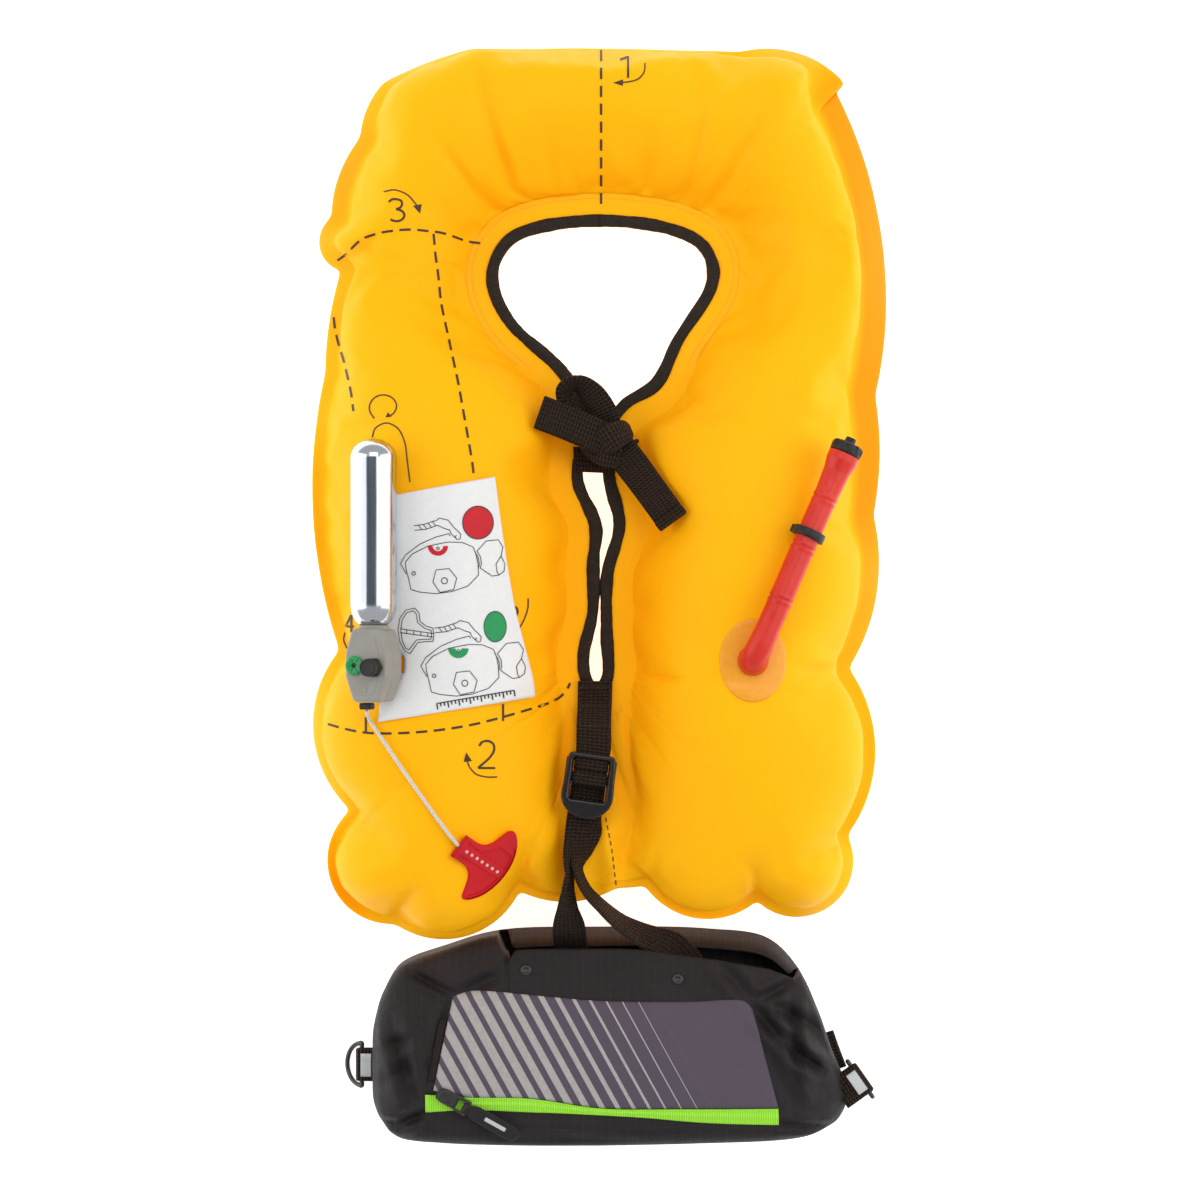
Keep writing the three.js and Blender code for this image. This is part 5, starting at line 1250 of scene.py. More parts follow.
def tube_frame(part):
    line = tube_line(801)
    at = round(part * 800)
    tangent = line[min(800, at + 2)] - line[max(0, at - 2)]
    turn = Vector(tangent).to_track_quat("Z", "Y").to_matrix().to_4x4()
    return Matrix.Translation(Vector(line[at])) @ turn


def make_tube():
    count = 260
    line = tube_line(count)
    parts = np.linspace(0, 1, count)
    widths = np.array(TUBE_WIDTHS)
    radius = np.interp(parts, widths[:, 0], widths[:, 1])
    for joint in TUBE_JOINTS:
        away = parts - joint
        radius += 0.35 * np.exp(-(away / 0.02) ** 4) - 0.8 * np.exp(-(away / 0.005) ** 2)
    tangent = np.gradient(line, axis=0)
    tangent /= np.linalg.norm(tangent, axis=1)[:, None]
    side = np.cross(tangent, (-0.30, -0.12, 0.95))
    side /= np.linalg.norm(side, axis=1)[:, None]
    up = np.cross(side, tangent)
    angles = np.linspace(0, 2 * math.pi, 64, endpoint=False)
    away = np.abs((angles - math.pi / 2 + math.pi) % (2 * math.pi) - math.pi)
    rib = smoothstep(-away, -0.52, -0.44)
    straight = smoothstep(parts, 0.22, 0.27) * (1 - smoothstep(parts, 0.84, 0.87))
    reach = radius[:, None] + rib[None, :] * 0.42 * straight[:, None]
    around = side[:, None, :] * np.cos(angles)[None, :, None] + up[:, None, :] * np.sin(angles)[None, :, None]
    points, faces = lofted(line[:, None, :] + around * reach[:, :, None])
    piece("mouth_tube", points, faces, RUBBER, "oral_tube", "tube_rubber")


def make_tube_ends():
    rim = bevelled([(0, 0), (8.7, 0), (8.9, 4.6), (7.8, 6), (3.3, 6.2), (3, 9.4), (0, 9.8)], 0.5)
    points, faces = turned(rim, 120)
    angle = np.arctan2(points[:, 1], points[:, 0])
    radius = np.hypot(points[:, 0], points[:, 1])
    notch = smoothstep(np.cos(angle * 9), 0.35, 0.62) * (radius > 6) * smoothstep(points[:, 2], 0.6, 1.2)
    points[:, :2] *= (1 - 0.13 * notch)[:, None]
    nub = (radius < 3.6) & (points[:, 2] > 6.4)
    points[nub, :2] *= (1 - 0.12 * smoothstep(np.cos(angle[nub] * 4), 0.2, 0.6))[:, None]
    end = tube_frame(1) @ Matrix.Translation((0, 0, 0.35))
    piece("valve_cap", *placed((points, faces), end), VALVE_BLACK, "tube_cap", "valve_plastic")
    band = ring_profile(7.35, -2.4, 9.05, 2.4, 0.4)
    ring = turned([*band, band[0]], 72)
    ear = placed(plate([bar_outline(7.6, -2.6, 10.6, 2.6, 0.6)], 4.4, 0.4),
                 frame_at((0, 0, -2.2)))
    clip = placed(merged([ring, ear]), tube_frame(CLIP_PART) @ Matrix.Rotation(-0.5, 4, "Z"))
    piece("tube_ring", *clip, VALVE_BLACK, "tube_clip", "valve_plastic")


def laid(surface, rows, thick, seat=0.25):
    """Points, faces and chart of a thin sheet through a grid of plan places, lying on a surface."""
    rows = np.asarray(rows, float)
    count, columns = rows.shape[:2]
    high = np.array([[surface.height(x, y) for x, y in row] for row in rows])
    top = np.dstack([rows, high + seat + thick])
    under = np.dstack([rows, high + seat])
    inner = np.pad(np.ones((count - 2, columns - 2)), 1)
    top[:, :, 2] -= (1 - inner) * thick * 0.45
    points = np.concatenate([top.reshape(-1, 3), under.reshape(-1, 3)])
    faces = grid_faces(count, columns)
    lower = [tuple(k + count * columns for k in reversed(face)) for face in faces]
    border = [*range(columns), *(i * columns + columns - 1 for i in range(1, count)),
              *((count - 1) * columns + j for j in range(columns - 2, -1, -1)),
              *(i * columns for i in range(count - 2, 0, -1))]
    shift = count * columns
    sides = [(a, a + shift, b + shift, b) for a, b in zip(border, border[1:] + border[:1])]
    return points, faces + lower + sides, np.tile(rows.reshape(-1, 2), (2, 1))


def make_patch():
    steps = np.linspace(-1, 1, 33)
    rows = [[(83 + 18.2 * u * math.sqrt(1 - v * v / 2), -34 + 22.7 * v * math.sqrt(1 - u * u / 2))
             for u in steps] for v in steps]
    points, faces, chart = laid(lobes, rows, 0.55)
    piece("weld_film", points, faces, FILM, "tube_patch", "patch_film", chart=chart)


make_tube()
make_tube_ends()
make_patch()


# Pull handle and its cord
HANDLE = (-78, -134.5, math.radians(-36))
HANDLE_THICK = 3.6
CORD_RADIUS = 1.0
CORD_ROUTE = [(-126, -66), (-118, -78), (-106.5, -95), (-98, -107), (-91, -117), (-83, -128)]


def handle_frame():
    """The frame that the solid handle lies in: its plan place and heading, with the slope of its plate."""
    solid = np.array([v.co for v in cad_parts["pull_handle"].data.vertices]) / MM
    up = np.linalg.svd(solid - solid.mean(0))[2][2]
    up *= np.sign(up[2])
    x, y, turn = HANDLE
    along = np.array([math.cos(turn), math.sin(turn), 0.0])
    along[2] = -(along @ up) / up[2]
    along /= np.linalg.norm(along)
    across = np.cross(up, along)
    z = ((solid @ up).min() - up[0] * x - up[1] * y) / up[2]
    turned_to = Matrix((along, across, up)).transposed().to_4x4()
    return Matrix.Translation((x, y, z)) @ turned_to


def arc_points(*corners):
    """Points of a Bezier curve after its first corner."""
    corners = np.asarray(corners, float)
    points = []
    for t in np.linspace(0, 1, 9)[1:]:
        level = corners
        while len(level) > 1:
            level = level[:-1] * (1 - t) + level[1:] * t
        points.append(level[0])
    return points


def handle_outline(inset=0.0):
    """Stem and crescent grip, in millimetres along and across the handle."""
    half = [(0, 7.1), (10, 7.1), *arc_points((10, 7.1), (16, 7.6), (18.5, 13)), (21.5, 21.3),
            *arc_points((21.5, 21.3), (23.5, 24.6), (27, 22.2)),
            *arc_points((27, 22.2), (33.5, 17.5), (37, 9), (37, 0))]
    half = np.array(half, float)
    outline = np.vstack([half, (half * (1, -1))[-2::-1]])
    if inset:
        tangent = np.roll(outline, -1, 0) - np.roll(outline, 1, 0)
        tangent /= np.linalg.norm(tangent, axis=1)[:, None]
        outline = outline + np.column_stack([tangent[:, 1], -tangent[:, 0]]) * inset
    return outline


def make_handle(place):
    body = plate([handle_outline()], HANDLE_THICK - 0.5, 1.0, 4)
    rim = placed(plate([handle_outline(0.5), handle_outline(3.0)[::-1]], 1.3, 0.5),
                 frame_at((0, 0, HANDLE_THICK - 1)))
    strip = placed(plate([bar_outline(1.5, -3.2, 34, 3.2, 1.4)], 1.3, 0.5),
                   frame_at((0, 0, HANDLE_THICK - 1)))
    lugs = [placed(turned(bevelled([(0, 0), (0.95, 0), (0.95, 0.7), (0, 0.8)], 0.25), 14),
                   frame_at((s, 0, HANDLE_THICK + 0.1))) for s in np.arange(5, 34, 4.2)]
    grip = piece("handle_grip", *placed(merged([body, rim, strip]), place), HANDLE_RED, "pull_handle",
                 "handle_plastic")
    piece("handle_lugs", *placed(merged(lugs), place), HANDLE_PALE, slot="handle_plastic")
    return grip


def tube_along(line, radius, sides=14):
    """Points, faces and chart of a round cord along a line."""
    tangent = np.gradient(line, axis=0)
    tangent /= np.linalg.norm(tangent, axis=1)[:, None]
    side = np.cross(tangent, (0.1, 0.05, 1))
    side /= np.linalg.norm(side, axis=1)[:, None]
    up = np.cross(side, tangent)
    angles = np.linspace(0, 2 * math.pi, sides, endpoint=False)
    around = side[:, None, :] * np.cos(angles)[None, :, None] + up[:, None, :] * np.sin(angles)[None, :, None]
    run = length_along(line)
    chart = np.dstack([np.repeat((angles * radius)[None, :], len(line), 0),
                       np.repeat(run[:, None], sides, 1)]).reshape(-1, 2)
    return (*lofted(line[:, None, :] + around * radius), chart)


def make_pull():
    place = handle_frame()
    grip = make_handle(place)
    start = np.array(INFLATOR_FRAME @ Vector((-4, -24.9, BODY_DEPTH / 2)))
    end = np.array(place @ Vector((-0.55, 0, HANDLE_THICK / 2)))
    route = [(x, y, lobes.highest(x, y, 4 * CORD_RADIUS) + CORD_RADIUS + 1) for x, y in CORD_ROUTE]
    line = smooth_line([start, *route, end], 90)
    points, faces, chart = tube_along(line, CORD_RADIUS)
    cord = piece("jerk_cord", points, faces, BRAID, "pull_cord", "cord_braid", chart=chart)
    length = length_along(line)[-1] * MM


make_pull()


# Belt pouch: length, near edge, mouth edge and depth of its sections
POUCH = np.array([
    (-128, -286, -238, 30), (-122, -294, -221, 40), (-112, -302, -206, 46), (-88, -304.5, -196.5, 49),
    (-58, -305.5, -188, 50), (0, -305.8, -186, 50), (60, -304.5, -187, 50), (94, -303.5, -192, 48),
    (111, -302, -208, 45), (122, -299, -231, 40), (131, -295, -256, 33), (138, -290, -270, 25),
], float)
MOUTH_LEFT, MOUTH_RIGHT = -50, 105
MOUTH_FRONT = np.array([(-61, -189), (-53, -207), (-46, -192), (22, -195.5), (66, -201.5), (94, -206.5),
                        (118, -216)])
POUCH_ROUND = 9
POUCH_CROWN = 3
# Folds and seams of its front: from, to, depth, half width
POUCH_FOLDS = np.array([
    (-111, -205.6, -83, -220.6, 2.4, 1.8), (-124, -292, -112, -294, 2.6, 2),
    (-112, -294, -97, -286.7, 2.4, 2),
    (85, -227, 106, -252, 3.0, 3), (106, -252, 126, -264, 3.2, 3), (99, -294, 131, -295.6, 2.4, 2),
    (66, -202, 84, -224, 1.8, 3), (-52, -208, -80, -221, 1.8, 3), (106, -222, 110, -272, 2.0, 3),
    (-118, -232, -102, -284, 2.2, 4),
    (94, -226, 124, -242, 2.0, 3), (-60, -300, 20, -302, 1.2, 3), (-126, -252, -104, -246, 1.6, 3),
    (-124, -270, -106, -262, 1.4, 3), (-105, -246, -99, -284, -1.4, 3), (96, -236, 118, -282, -1.6, 4),
    (112, -232, 132, -262, 1.6, 3), (88, -224, 106, -214, 1.8, 2.4), (-83, -220.6, -95, -262, 1.4, 2),
])


def pouch_section(x, low, high, depth, inset):
    """From the mouth's back edge under the pouch and over its front to the front edge, and its far wall."""
    low, high, depth = low + inset, high - inset, depth - 0.6 * inset
    bend = min(POUCH_ROUND, depth / 2.3, (high - low) / 2.3)
    foot = 4.0
    front_edge = np.interp(x, MOUTH_FRONT[:, 0], MOUTH_FRONT[:, 1])
    opened = smoothstep(x, MOUTH_LEFT - 3, MOUTH_LEFT + 1) * (1 - smoothstep(x, MOUTH_RIGHT, MOUTH_RIGHT + 8))
    front_end = high - bend
    if MOUTH_FRONT[0, 0] < x < MOUTH_FRONT[-1, 0]:
        front_end = min(front_end, front_edge)
    corner = np.linspace(0, math.pi / 2, 7)
    back_rise = 16 * opened
    line = [(high - 0.6 * back_rise * (1 - k), 0.8 + foot + back_rise * (1 - k)) for k in (0, 0.5)]
    line += [(high - foot + foot * math.cos(a), 0.3 + foot - foot * math.sin(a)) for a in corner]
    line += [(high - foot + (low + foot - high + foot) * k, 0.3) for k in np.linspace(0, 1, 14)[1:-1]]
    line += [(low + foot - foot * math.sin(a), 0.3 + foot - foot * math.cos(a)) for a in corner]
    line += [(low, foot + (depth - bend - foot) * k) for k in np.linspace(0, 1, 7)[1:-1]]
    line += [(low + bend - bend * math.cos(a), depth - bend + bend * math.sin(a)) for a in corner]
    flat = np.linspace(0, 1, 70)[1:]
    span = front_end - low - bend
    crown = POUCH_CROWN * np.sin(math.pi * np.clip(flat * span / (high - low - 2 * bend), 0, 1))
    line += [(low + bend + span * k, depth + c) for k, c in zip(flat, crown)]
    end_y, end_z = line[-1]
    hem = [(end_y - 0.4 * k, end_z - 0.55 * k) for k in range(1, 14)]
    wall = [(end_y + bend * math.sin(a), depth - bend + bend * math.cos(a)) for a in corner[1:]]
    wall += [(end_y + bend, (depth - bend) + (0.8 + foot - depth + bend) * k)
             for k in np.linspace(0, 1, 8)[1:]]
    far = np.array(wall) * (1 - opened) + np.array(hem) * opened
    line = np.vstack([line, far])
    return np.column_stack([np.full(len(line), x), line])


def make_pouch():
    rows = smooth_line(POUCH, 230)
    left, right = rows[0, 0], rows[-1, 0]
    sections = []
    for x, low, high, depth in rows:
        near_end = min(x - left, right - x)
        part = np.clip(1 - near_end / 7, 0, 1)
        sections.append(pouch_section(x, low, high, depth, 5 * (1 - math.sqrt(1 - min(part, 0.999) ** 2))))
    sections = np.array(sections)
    count, columns = sections.shape[:2]
    run = np.cumsum(np.linalg.norm(np.diff(sections, axis=1, prepend=sections[:, :1]), axis=2), axis=1)
    chart = np.dstack([sections[:, :, 0], run]).reshape(-1, 2)
    points = sections.reshape(-1, 3)
    front = smoothstep(points[:, 2], 14, 30)
    soft = ripple(points, 46, 21) * 0.55 + ripple(points, 19, 5) * 0.28
    points[:, 2] -= front * (1.6 * pucker_depth(points[:, :2], POUCH_FOLDS) + np.maximum(0, soft) * 1.6)
    side = smoothstep(points[:, 2], 3, 10) * (1 - front)
    points[:, 1] += side * soft * 0.8 * np.sign(points[:, 1] + 250) * -1
    faces = grid_faces(count, columns)
    faces.append(tuple(range(columns)))
    faces.append(tuple((count - 1) * columns + j for j in reversed(range(columns))))
    cloth = piece("pouch_cloth", points, faces, RIPSTOP, "pouch_shell", "pouch_cloth", chart=chart)
    wall = cloth.modifiers.new("wall", "SOLIDIFY")
    wall.thickness = 1.2 * MM
    wall.offset = -1
    settle(cloth)
    return cloth


pouch = make_pouch()
pouch_front = Surface(pouch)


def between(first, second, rows, columns):
    """Plan places of a grid from one edge line to another."""
    first, second = smooth_line(first, columns), smooth_line(second, columns)
    return np.array([first + (second - first) * part for part in np.linspace(0, 1, rows)])


PANEL_TOP = [(-82, -221.5), (-71, -218.5), (-36, -221), (0, -224), (50, -224.5), (80, -224.2), (84.5, -228.5)]
PANEL_LOW = [(-93, -274), (-73, -277.5), (-40, -278), (0, -283.5), (50, -284), (99, -284)]
ZIP_LOW = [(-97.5, -286.3), (-74, -284.8), (-40, -286), (-14, -287), (22, -289), (59, -292), (99.3, -293.5)]


def make_panel():
    grid = between(PANEL_TOP, PANEL_LOW, 40, 110)
    points, faces, chart = laid(pouch_front, grid, 0.9)
    piece("panel", points, faces, PANEL, "pouch_panel", "panel_cloth", chart=chart - np.array([0, -252]))


def make_zip():
    top = [(-97.5, -276.2), *[(x, y - 0.3) for x, y in PANEL_LOW[1:]]]
    grid = between(top, ZIP_LOW, 14, 150)
    points, faces, chart = laid(pouch_front, grid, 0.8)
    part = np.tile(np.repeat(np.linspace(0, 1, 14), 150), 2)
    points[:, 2] += 0.55 * np.exp(-((part - 0.52) / 0.13) ** 2) + 0.35 * np.exp(-((part - 0.05) / 0.1) ** 2)
    along = chart.copy()
    along[:, 0], along[:, 1] = chart[:, 1], chart[:, 0]
    piece("zip_band", points, faces, ZIP_GREEN, "zip_tape", "zip_cloth", chart=along)


def make_label():
    grid = between([(-89.4, -234), (-85.4, -233.5)], [(-96.4, -269), (-92.4, -268.5)], 24, 6)
    points, faces, chart = laid(pouch_front, grid, 0.7, 0.5)
    piece("side_tape", points, faces, TAPE, "side_label", "webbing", chart=chart)


def make_eyelets():
    profile = bevelled([(1.1, -0.6), (1.3, 0.5), (2.0, 0.9), (2.8, 0.6), (3.2, 0)], 0.3)
    for side, x, y in (("left", -41.4, -207), ("right", 43, -212)):
        low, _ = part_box(f"eyelet_{side}")
        seat = max(low.z / MM, pouch_front.highest(x, y, 2.5))
        ring = placed(turned([(0.9, -0.7), *profile], 32), frame_at((x, y, seat)))
        piece(f"vent_{side}", *ring, RING_BLACK, f"eyelet_{side}", "ring_metal")


make_panel()
make_zip()
make_label()
make_eyelets()


# Zip slider and the pull on its pin, in the frame of the pin
ZIP = (-74.7, -283.3, 55.3327)
ZIP_TURN = math.radians(-29)
PULL_LENGTH, PULL_HALF = 33, 4.2


def make_slider():
    place = frame_at(ZIP, ZIP_TURN)
    shoe_outline = [(-18, -3.2), (-14, -4.2), (-5.5, -4.2), (-5.5, 4.2), (-14, 4.2), (-18, 3.2)]
    roof_outline = [(-17, -2.6), (-13, -3.7), (-6.5, -3.7), (-6.5, 3.7), (-13, 3.7), (-17, 2.6)]
    base = plate([rounded(shoe_outline, 1.2)], 1.5, 0.4)
    top = placed(plate([rounded(roof_outline, 1.2)], 1.5, 0.5), frame_at((0, 0, 2.2)))
    neck = placed(plate([bar_outline(-16, -1.2, -8, 1.2, 0.6)], 2.4, 0.3), frame_at((0, 0, 0.8)))
    ears = [placed(plate([bar_outline(-7, -1.9, 1.5, 1.9, 1.2)], 1.5, 0.4),
                   frame_at((0, side * 3.6 + 0.75, 1.9), math.pi / 2, "X")) for side in (-1, 1)]
    pin = placed(turned(ring_profile(0, -3.9, 0.8, 3.9, 0.2), 20),
                 frame_at((0, 0, 2.4), math.pi / 2, "X"))
    skin = merged([base, top, neck, *ears, pin])
    points, faces = placed(skin, place @ Matrix.Translation((0, 0, -2.4)))
    piece("slider", points, faces, RING_BLACK, "zip_slider", "pull_plastic")


def make_zip_pull():
    place = frame_at(ZIP, ZIP_TURN)
    outline = np.array([(1, -2.5), (6, -PULL_HALF), (PULL_LENGTH - 3.5, -PULL_HALF), (PULL_LENGTH, -1.6),
                        (PULL_LENGTH, 1.6), (PULL_LENGTH - 3.5, PULL_HALF), (6, PULL_HALF), (1, 2.5)])
    body = placed(plate([rounded(outline, 1.6)], 1.8, 0.5), frame_at((0, 0, -0.9)))
    bore = ring_profile(1.15, -2.5, 2.1, 2.5, 0.25)
    barrel = placed(turned([*bore, bore[0]], 32), Matrix.Rotation(math.pi / 2, 4, "X"))
    ridges = [placed(plate([bar_outline(x, -3.2, x + 0.8, 3.2, 0.3)], 0.5, 0.2),
                     frame_at((0, 0, 0.75))) for x in (7, 9, 29)]
    piece("pull_tab", *placed(merged([body, barrel, *ridges]), place), VALVE_BLACK, "zip_pull",
          "pull_plastic", "pull")
    stripe = placed(plate([bar_outline(12, -1.1, 25, 1.1, 0.5)], 0.5, 0.15),
                    frame_at((0, 0, 0.7)))
    points, faces = placed(stripe, place)
    piece("pull_stripe", points, faces, REFLECTIVE, None, "reflective_tape", "pull", points[:, :2])


make_slider()
make_zip_pull()


# Rings at the pouch's ends, their webbing and its reflective patches
RING_WIRE, RING_HALF, RING_REACH = 1.35, 12, 11.4
RING_ENDS = {
    "left": {"place": (-135, -263.6, 9), "heading": 180, "root": 10, "dip": math.radians(41.5)},
    "right": {"place": (146, -270.5, 23), "heading": 35, "root": 15, "dip": math.pi / 2},
}


def make_ring_end(side, place, heading, root, dip):
    x, y, z = place
    out = (math.cos(math.radians(heading)), math.sin(math.radians(heading)))
    loop = WEBBING_THICK / 2 + RING_WIRE + 0.45

    def row(reach, rise, width=18.5):
        return x + reach * out[0], y + reach * out[1], z + rise, heading - 90, 0, width

    bends = [row(loop * math.cos(t), loop * math.sin(t)) for t in np.radians([90, 45, 0, -45, -90])]
    strap(f"ring_webbing_{side}", [row(-root, loop + 1.2), row(-5, loop + 0.5), *bends, row(-5, -loop - 0.3),
                                   row(-root, -loop - 0.6)], f"ring_tab_{side}")
    rise = loop + WEBBING_THICK / 2 + 0.35 + 0.3
    patch_rows = [row(-5.6, rise + 0.6, 13), row(-2.6, rise + 0.35, 13), row(0.4, rise + 0.1, 13)]
    points, faces, chart = strap_skin(patch_rows, 0.6)
    piece(f"ring_patch_{side}", points, faces, REFLECTIVE, f"reflector_{side}", "reflective_tape",
          chart=chart)
    bow = [(-RING_REACH * math.sin(a), RING_HALF * math.cos(a), 0) for a in np.linspace(0, math.pi, 15)]
    bar = [(0, part * RING_HALF, 0) for part in (-0.8, -0.4, 0, 0.4, 0.8)]
    line = smooth_line([*bow, *bar], 120, True)
    tangent = np.roll(line, -1, 0) - np.roll(line, 1, 0)
    tangent /= np.linalg.norm(tangent, axis=1)[:, None]
    flat_side = np.cross(tangent, (0, 0, 1))
    angles = np.linspace(0, 2 * math.pi, 18, endpoint=False)
    round_wire = (flat_side[:, None, :] * np.cos(angles)[None, :, None]
                  + np.array([0, 0, 1]) * np.sin(angles)[None, :, None])
    hinge = frame_at(place, math.radians(heading - 180)) @ Matrix.Rotation(-dip, 4, "Y")
    ring = placed(lofted(line[:, None, :] + round_wire * RING_WIRE, ring=True), hinge)
    piece(f"ring_wire_{side}", *ring, RING_BLACK, f"d_ring_{side}", "ring_metal", f"{side}_ring")


for end, sizes in RING_ENDS.items():
    make_ring_end(end, **sizes)
strap("stub_webbing", [(127, -245, 15, 18, 0, 9), (130.5, -255, 15, 18, 0, 9), (134.5, -265.5, 14, 18, 0, 9)],
      "belt_stub")


# Instruction card: its plan edges, and the marks on it as places at seam height that the camera sees there
CARD_LEFT = [(-112, 56), (-114.5, 20), (-117.5, -20), (-121, -67.5)]
CARD_RIGHT = [(-57.5, 66), (-52.5, 30), (-47, -3), (-36.4, -47), (-36, -54)]
CARD_THICK = 0.6
CARD_SLOT = 9.2
PEN = 0.42
PICTURE = [
    [(-108.3, 20), (-104.7, 24.4), (-95.8, 28.9), (-84.7, 31.1), (-76.9, 30.9), (-70.8, 28.3),
     (-69.2, 24.4), (-68.1, 18.9), (-67.8, 12.8), (-73.6, 6.7), (-82.5, 3.6), (-91.4, 2.4),
     (-100.3, 3.3), (-105.3, 4.7), (-106.4, 10), (-108.1, 16.7), (-108.3, 20)],
    [(-108.3, 23.9), (-111.1, 19.1), (-107.8, 13.3)],
    [(-108.3, 23.9), (-100.3, 30), (-91.4, 33.9), (-84.2, 35.8), (-83.6, 34.4)],
    [(-84.2, 16.4), (-79.9, 11.1), (-81.6, 4.7), (-89.2, 3.1), (-93.1, 8.9), (-91.4, 15.6), (-84.2, 16.4)],
    [(-68.6, 26.1), (-63.6, 31.7), (-56.9, 32.4), (-54.2, 28.3), (-55.3, 23.3), (-58.1, 18.9),
     (-57.5, 14.4), (-56.4, 12.8), (-60.3, 12.2), (-66.9, 16.7)],
    [(-55.3, 23.3), (-53.1, 18.9), (-53.6, 15), (-56.4, 12.8)],
    [(-70.1, 26.1), (-68.1, 22.8), (-67.3, 18.9), (-68.1, 16.1)],
    [(-68.7, 26.1), (-66.7, 22.8), (-66.2, 18.9), (-66.9, 16.4)],
    [(-103.6, 40.2), (-98.1, 40.9), (-90.8, 43.3)],
    [(-103.4, 37.6), (-96.9, 38.2), (-90.5, 40.4)],
    [(-90.8, 43.3), (-89.5, 44.4), (-84.7, 43.3), (-81.2, 38.9), (-79.2, 37.2), (-77.6, 35.3),
     (-78.1, 32.8), (-79.7, 32.4), (-80.7, 33.9), (-80.1, 35)],
    [(-90.5, 40.4), (-86.9, 38.7), (-83.8, 37.8), (-82.9, 35.6), (-80.5, 33.3)],
    [(-101.2, 40.4), (-99.2, 38)], [(-98.5, 40.9), (-96.5, 38.4)], [(-95.8, 41.6), (-93.8, 39.1)],
    [(-93.4, 42.4), (-91.4, 40)],
]
HANDLE_PICTURE = [
    [(-112.5, -17.8), (-111.4, -11.1), (-108.1, -6.7), (-103.1, -5.6), (-100.8, -8.3), (-100.3, -12.8),
     (-96.9, -15.6), (-93.1, -16.7), (-92.5, -20.6), (-93.1, -24.2), (-96.9, -24.2), (-101.4, -24.7),
     (-103.6, -27.8), (-105.8, -30.9), (-108.6, -29.4), (-111.4, -24.4), (-112.5, -17.8)],
    [(-110.9, -17.8), (-110.1, -12), (-107.4, -8), (-103.8, -7.1), (-102.3, -8.9), (-101.6, -13.6),
     (-97.6, -16.9), (-94.1, -18), (-93.8, -20.7), (-94.3, -22.9), (-97.2, -22.9), (-102.1, -23.3),
     (-104.7, -26.7), (-106.5, -28.9), (-108.1, -28), (-110.1, -23.6), (-110.9, -17.8)],
    [(-111.4, -17), (-92.5, -19.8)], [(-111.4, -19.2), (-93.1, -21.7)], [(-107.5, -17.6), (-107.7, -19.7)],
    [(-103.6, -18.1), (-103.8, -20.3)], [(-99.7, -18.7), (-99.9, -20.9)], [(-95.8, -19.2), (-96.1, -21.3)],
]
LOWER_PICTURE = np.array([11.33, -56.89])

# Folding marks on the bladder: dashed folds, curved strokes, straight strokes and arrowheads
DASH, DASH_GAP, DASH_WIDE = 6.3, 3.6, 1.35
ARROW_WIDE, NUMERAL_WIDE = 0.8, 1.25
FOLD_DASHES = [
    [(0.3, 304.4), (0.3, 265.6), (0.3, 213.9)],
    [(-146.1, 187.5), (-141.9, 190.6), (-132.9, 199.2), (-123.9, 202.5), (-115.6, 204), (-105.8, 204.7),
     (-96.8, 204), (-89.2, 203.1), (-82.9, 201.2), (-77.4, 199.2), (-71.1, 197.6), (-62.5, 196.9)],
    [(-92.8, 202.4), (-91.8, 191), (-90.4, 180.8), (-88.5, 163.5), (-85, 146.8), (-81.2, 129.4),
     (-79.4, 121.1), (-76, 102.4), (-71.1, 73.9), (-70.3, 66.5)],
    [(-148.2, 156), (-147.5, 149.9), (-145.4, 140.8), (-142.6, 131.9), (-140.6, 123.5), (-138.6, 114.4),
     (-137.2, 103.8)],
    [(-151.4, -70), (-141.4, -72.8), (-128.1, -75), (-100.3, -74.4), (-72.5, -70.6), (-44.7, -63.3),
     (-25.3, -56.7), (-19.2, -51.7), (-16.9, -47.2)],
]
FOLD_ARCS = [
    [(24.7, 297.2), (24.2, 292.2), (20.8, 288.3), (15.3, 286.7), (11.4, 286.4)],
    [(-120.4, 225.7), (-114.2, 226.7), (-107.2, 223.9), (-103.3, 219.7), (-101.9, 217.8)],
    [(-57.5, -99.4), (-63.1, -99.4), (-69.2, -97.8), (-73.1, -93.3), (-74.2, -90)],
    [(-141.9, -19.1), (-142.6, -23.3), (-140.8, -28)],
    [(-40.3, -0.2), (-40.5, -5.6), (-42.5, -11.7), (-45.3, -16.7), (-46.9, -18.3)],
    [(-125.6, 99.7), (-128.1, 103.8), (-128.1, 107.5), (-125.3, 111.4), (-120.4, 112.8), (-115.6, 111.1),
     (-113.3, 107.2), (-114.4, 103.3), (-116.9, 101.1)],
    [(-126.8, 89.2), (-125, 94.3), (-119, 97.2), (-112.8, 94.4), (-108.9, 87.1), (-107.2, 75.3),
     (-105.8, 64.2)],
]
NUMERAL_ARCS = [
    [(-117.6, 220), (-115.8, 221.4), (-113.1, 221.5), (-110.8, 220.6), (-110.3, 218.6), (-111.4, 216.9),
     (-113.6, 216)],
    [(-113.6, 216), (-110.6, 215.1), (-109, 213.1), (-109.9, 210.7), (-112.5, 209.4), (-115, 209.6),
     (-116.7, 210.4)],
    [(-67.5, -82.2), (-65.8, -80), (-62.5, -79.4), (-59.7, -81.1), (-59.2, -84.4), (-61.4, -88.3),
     (-68.1, -94.4)],
    [(-47.8, -4.7), (-46.5, -6), (-46.2, -8), (-47.2, -10), (-48.3, -10.8)],
]
NUMERAL_LINES = [
    [(10.8, 298.9), (15.3, 300.6), (15.3, 288.9)], [(-68.1, -94.4), (-58.6, -94.4)],
    [(-138.3, -19.1), (-138.3, -9.4), (-141.6, -15.8), (-136.9, -15.8)],
    [(-130.3, -66.1), (-130.3, -75)], [(-54.2, -58.9), (-54.2, -68.3)],
]
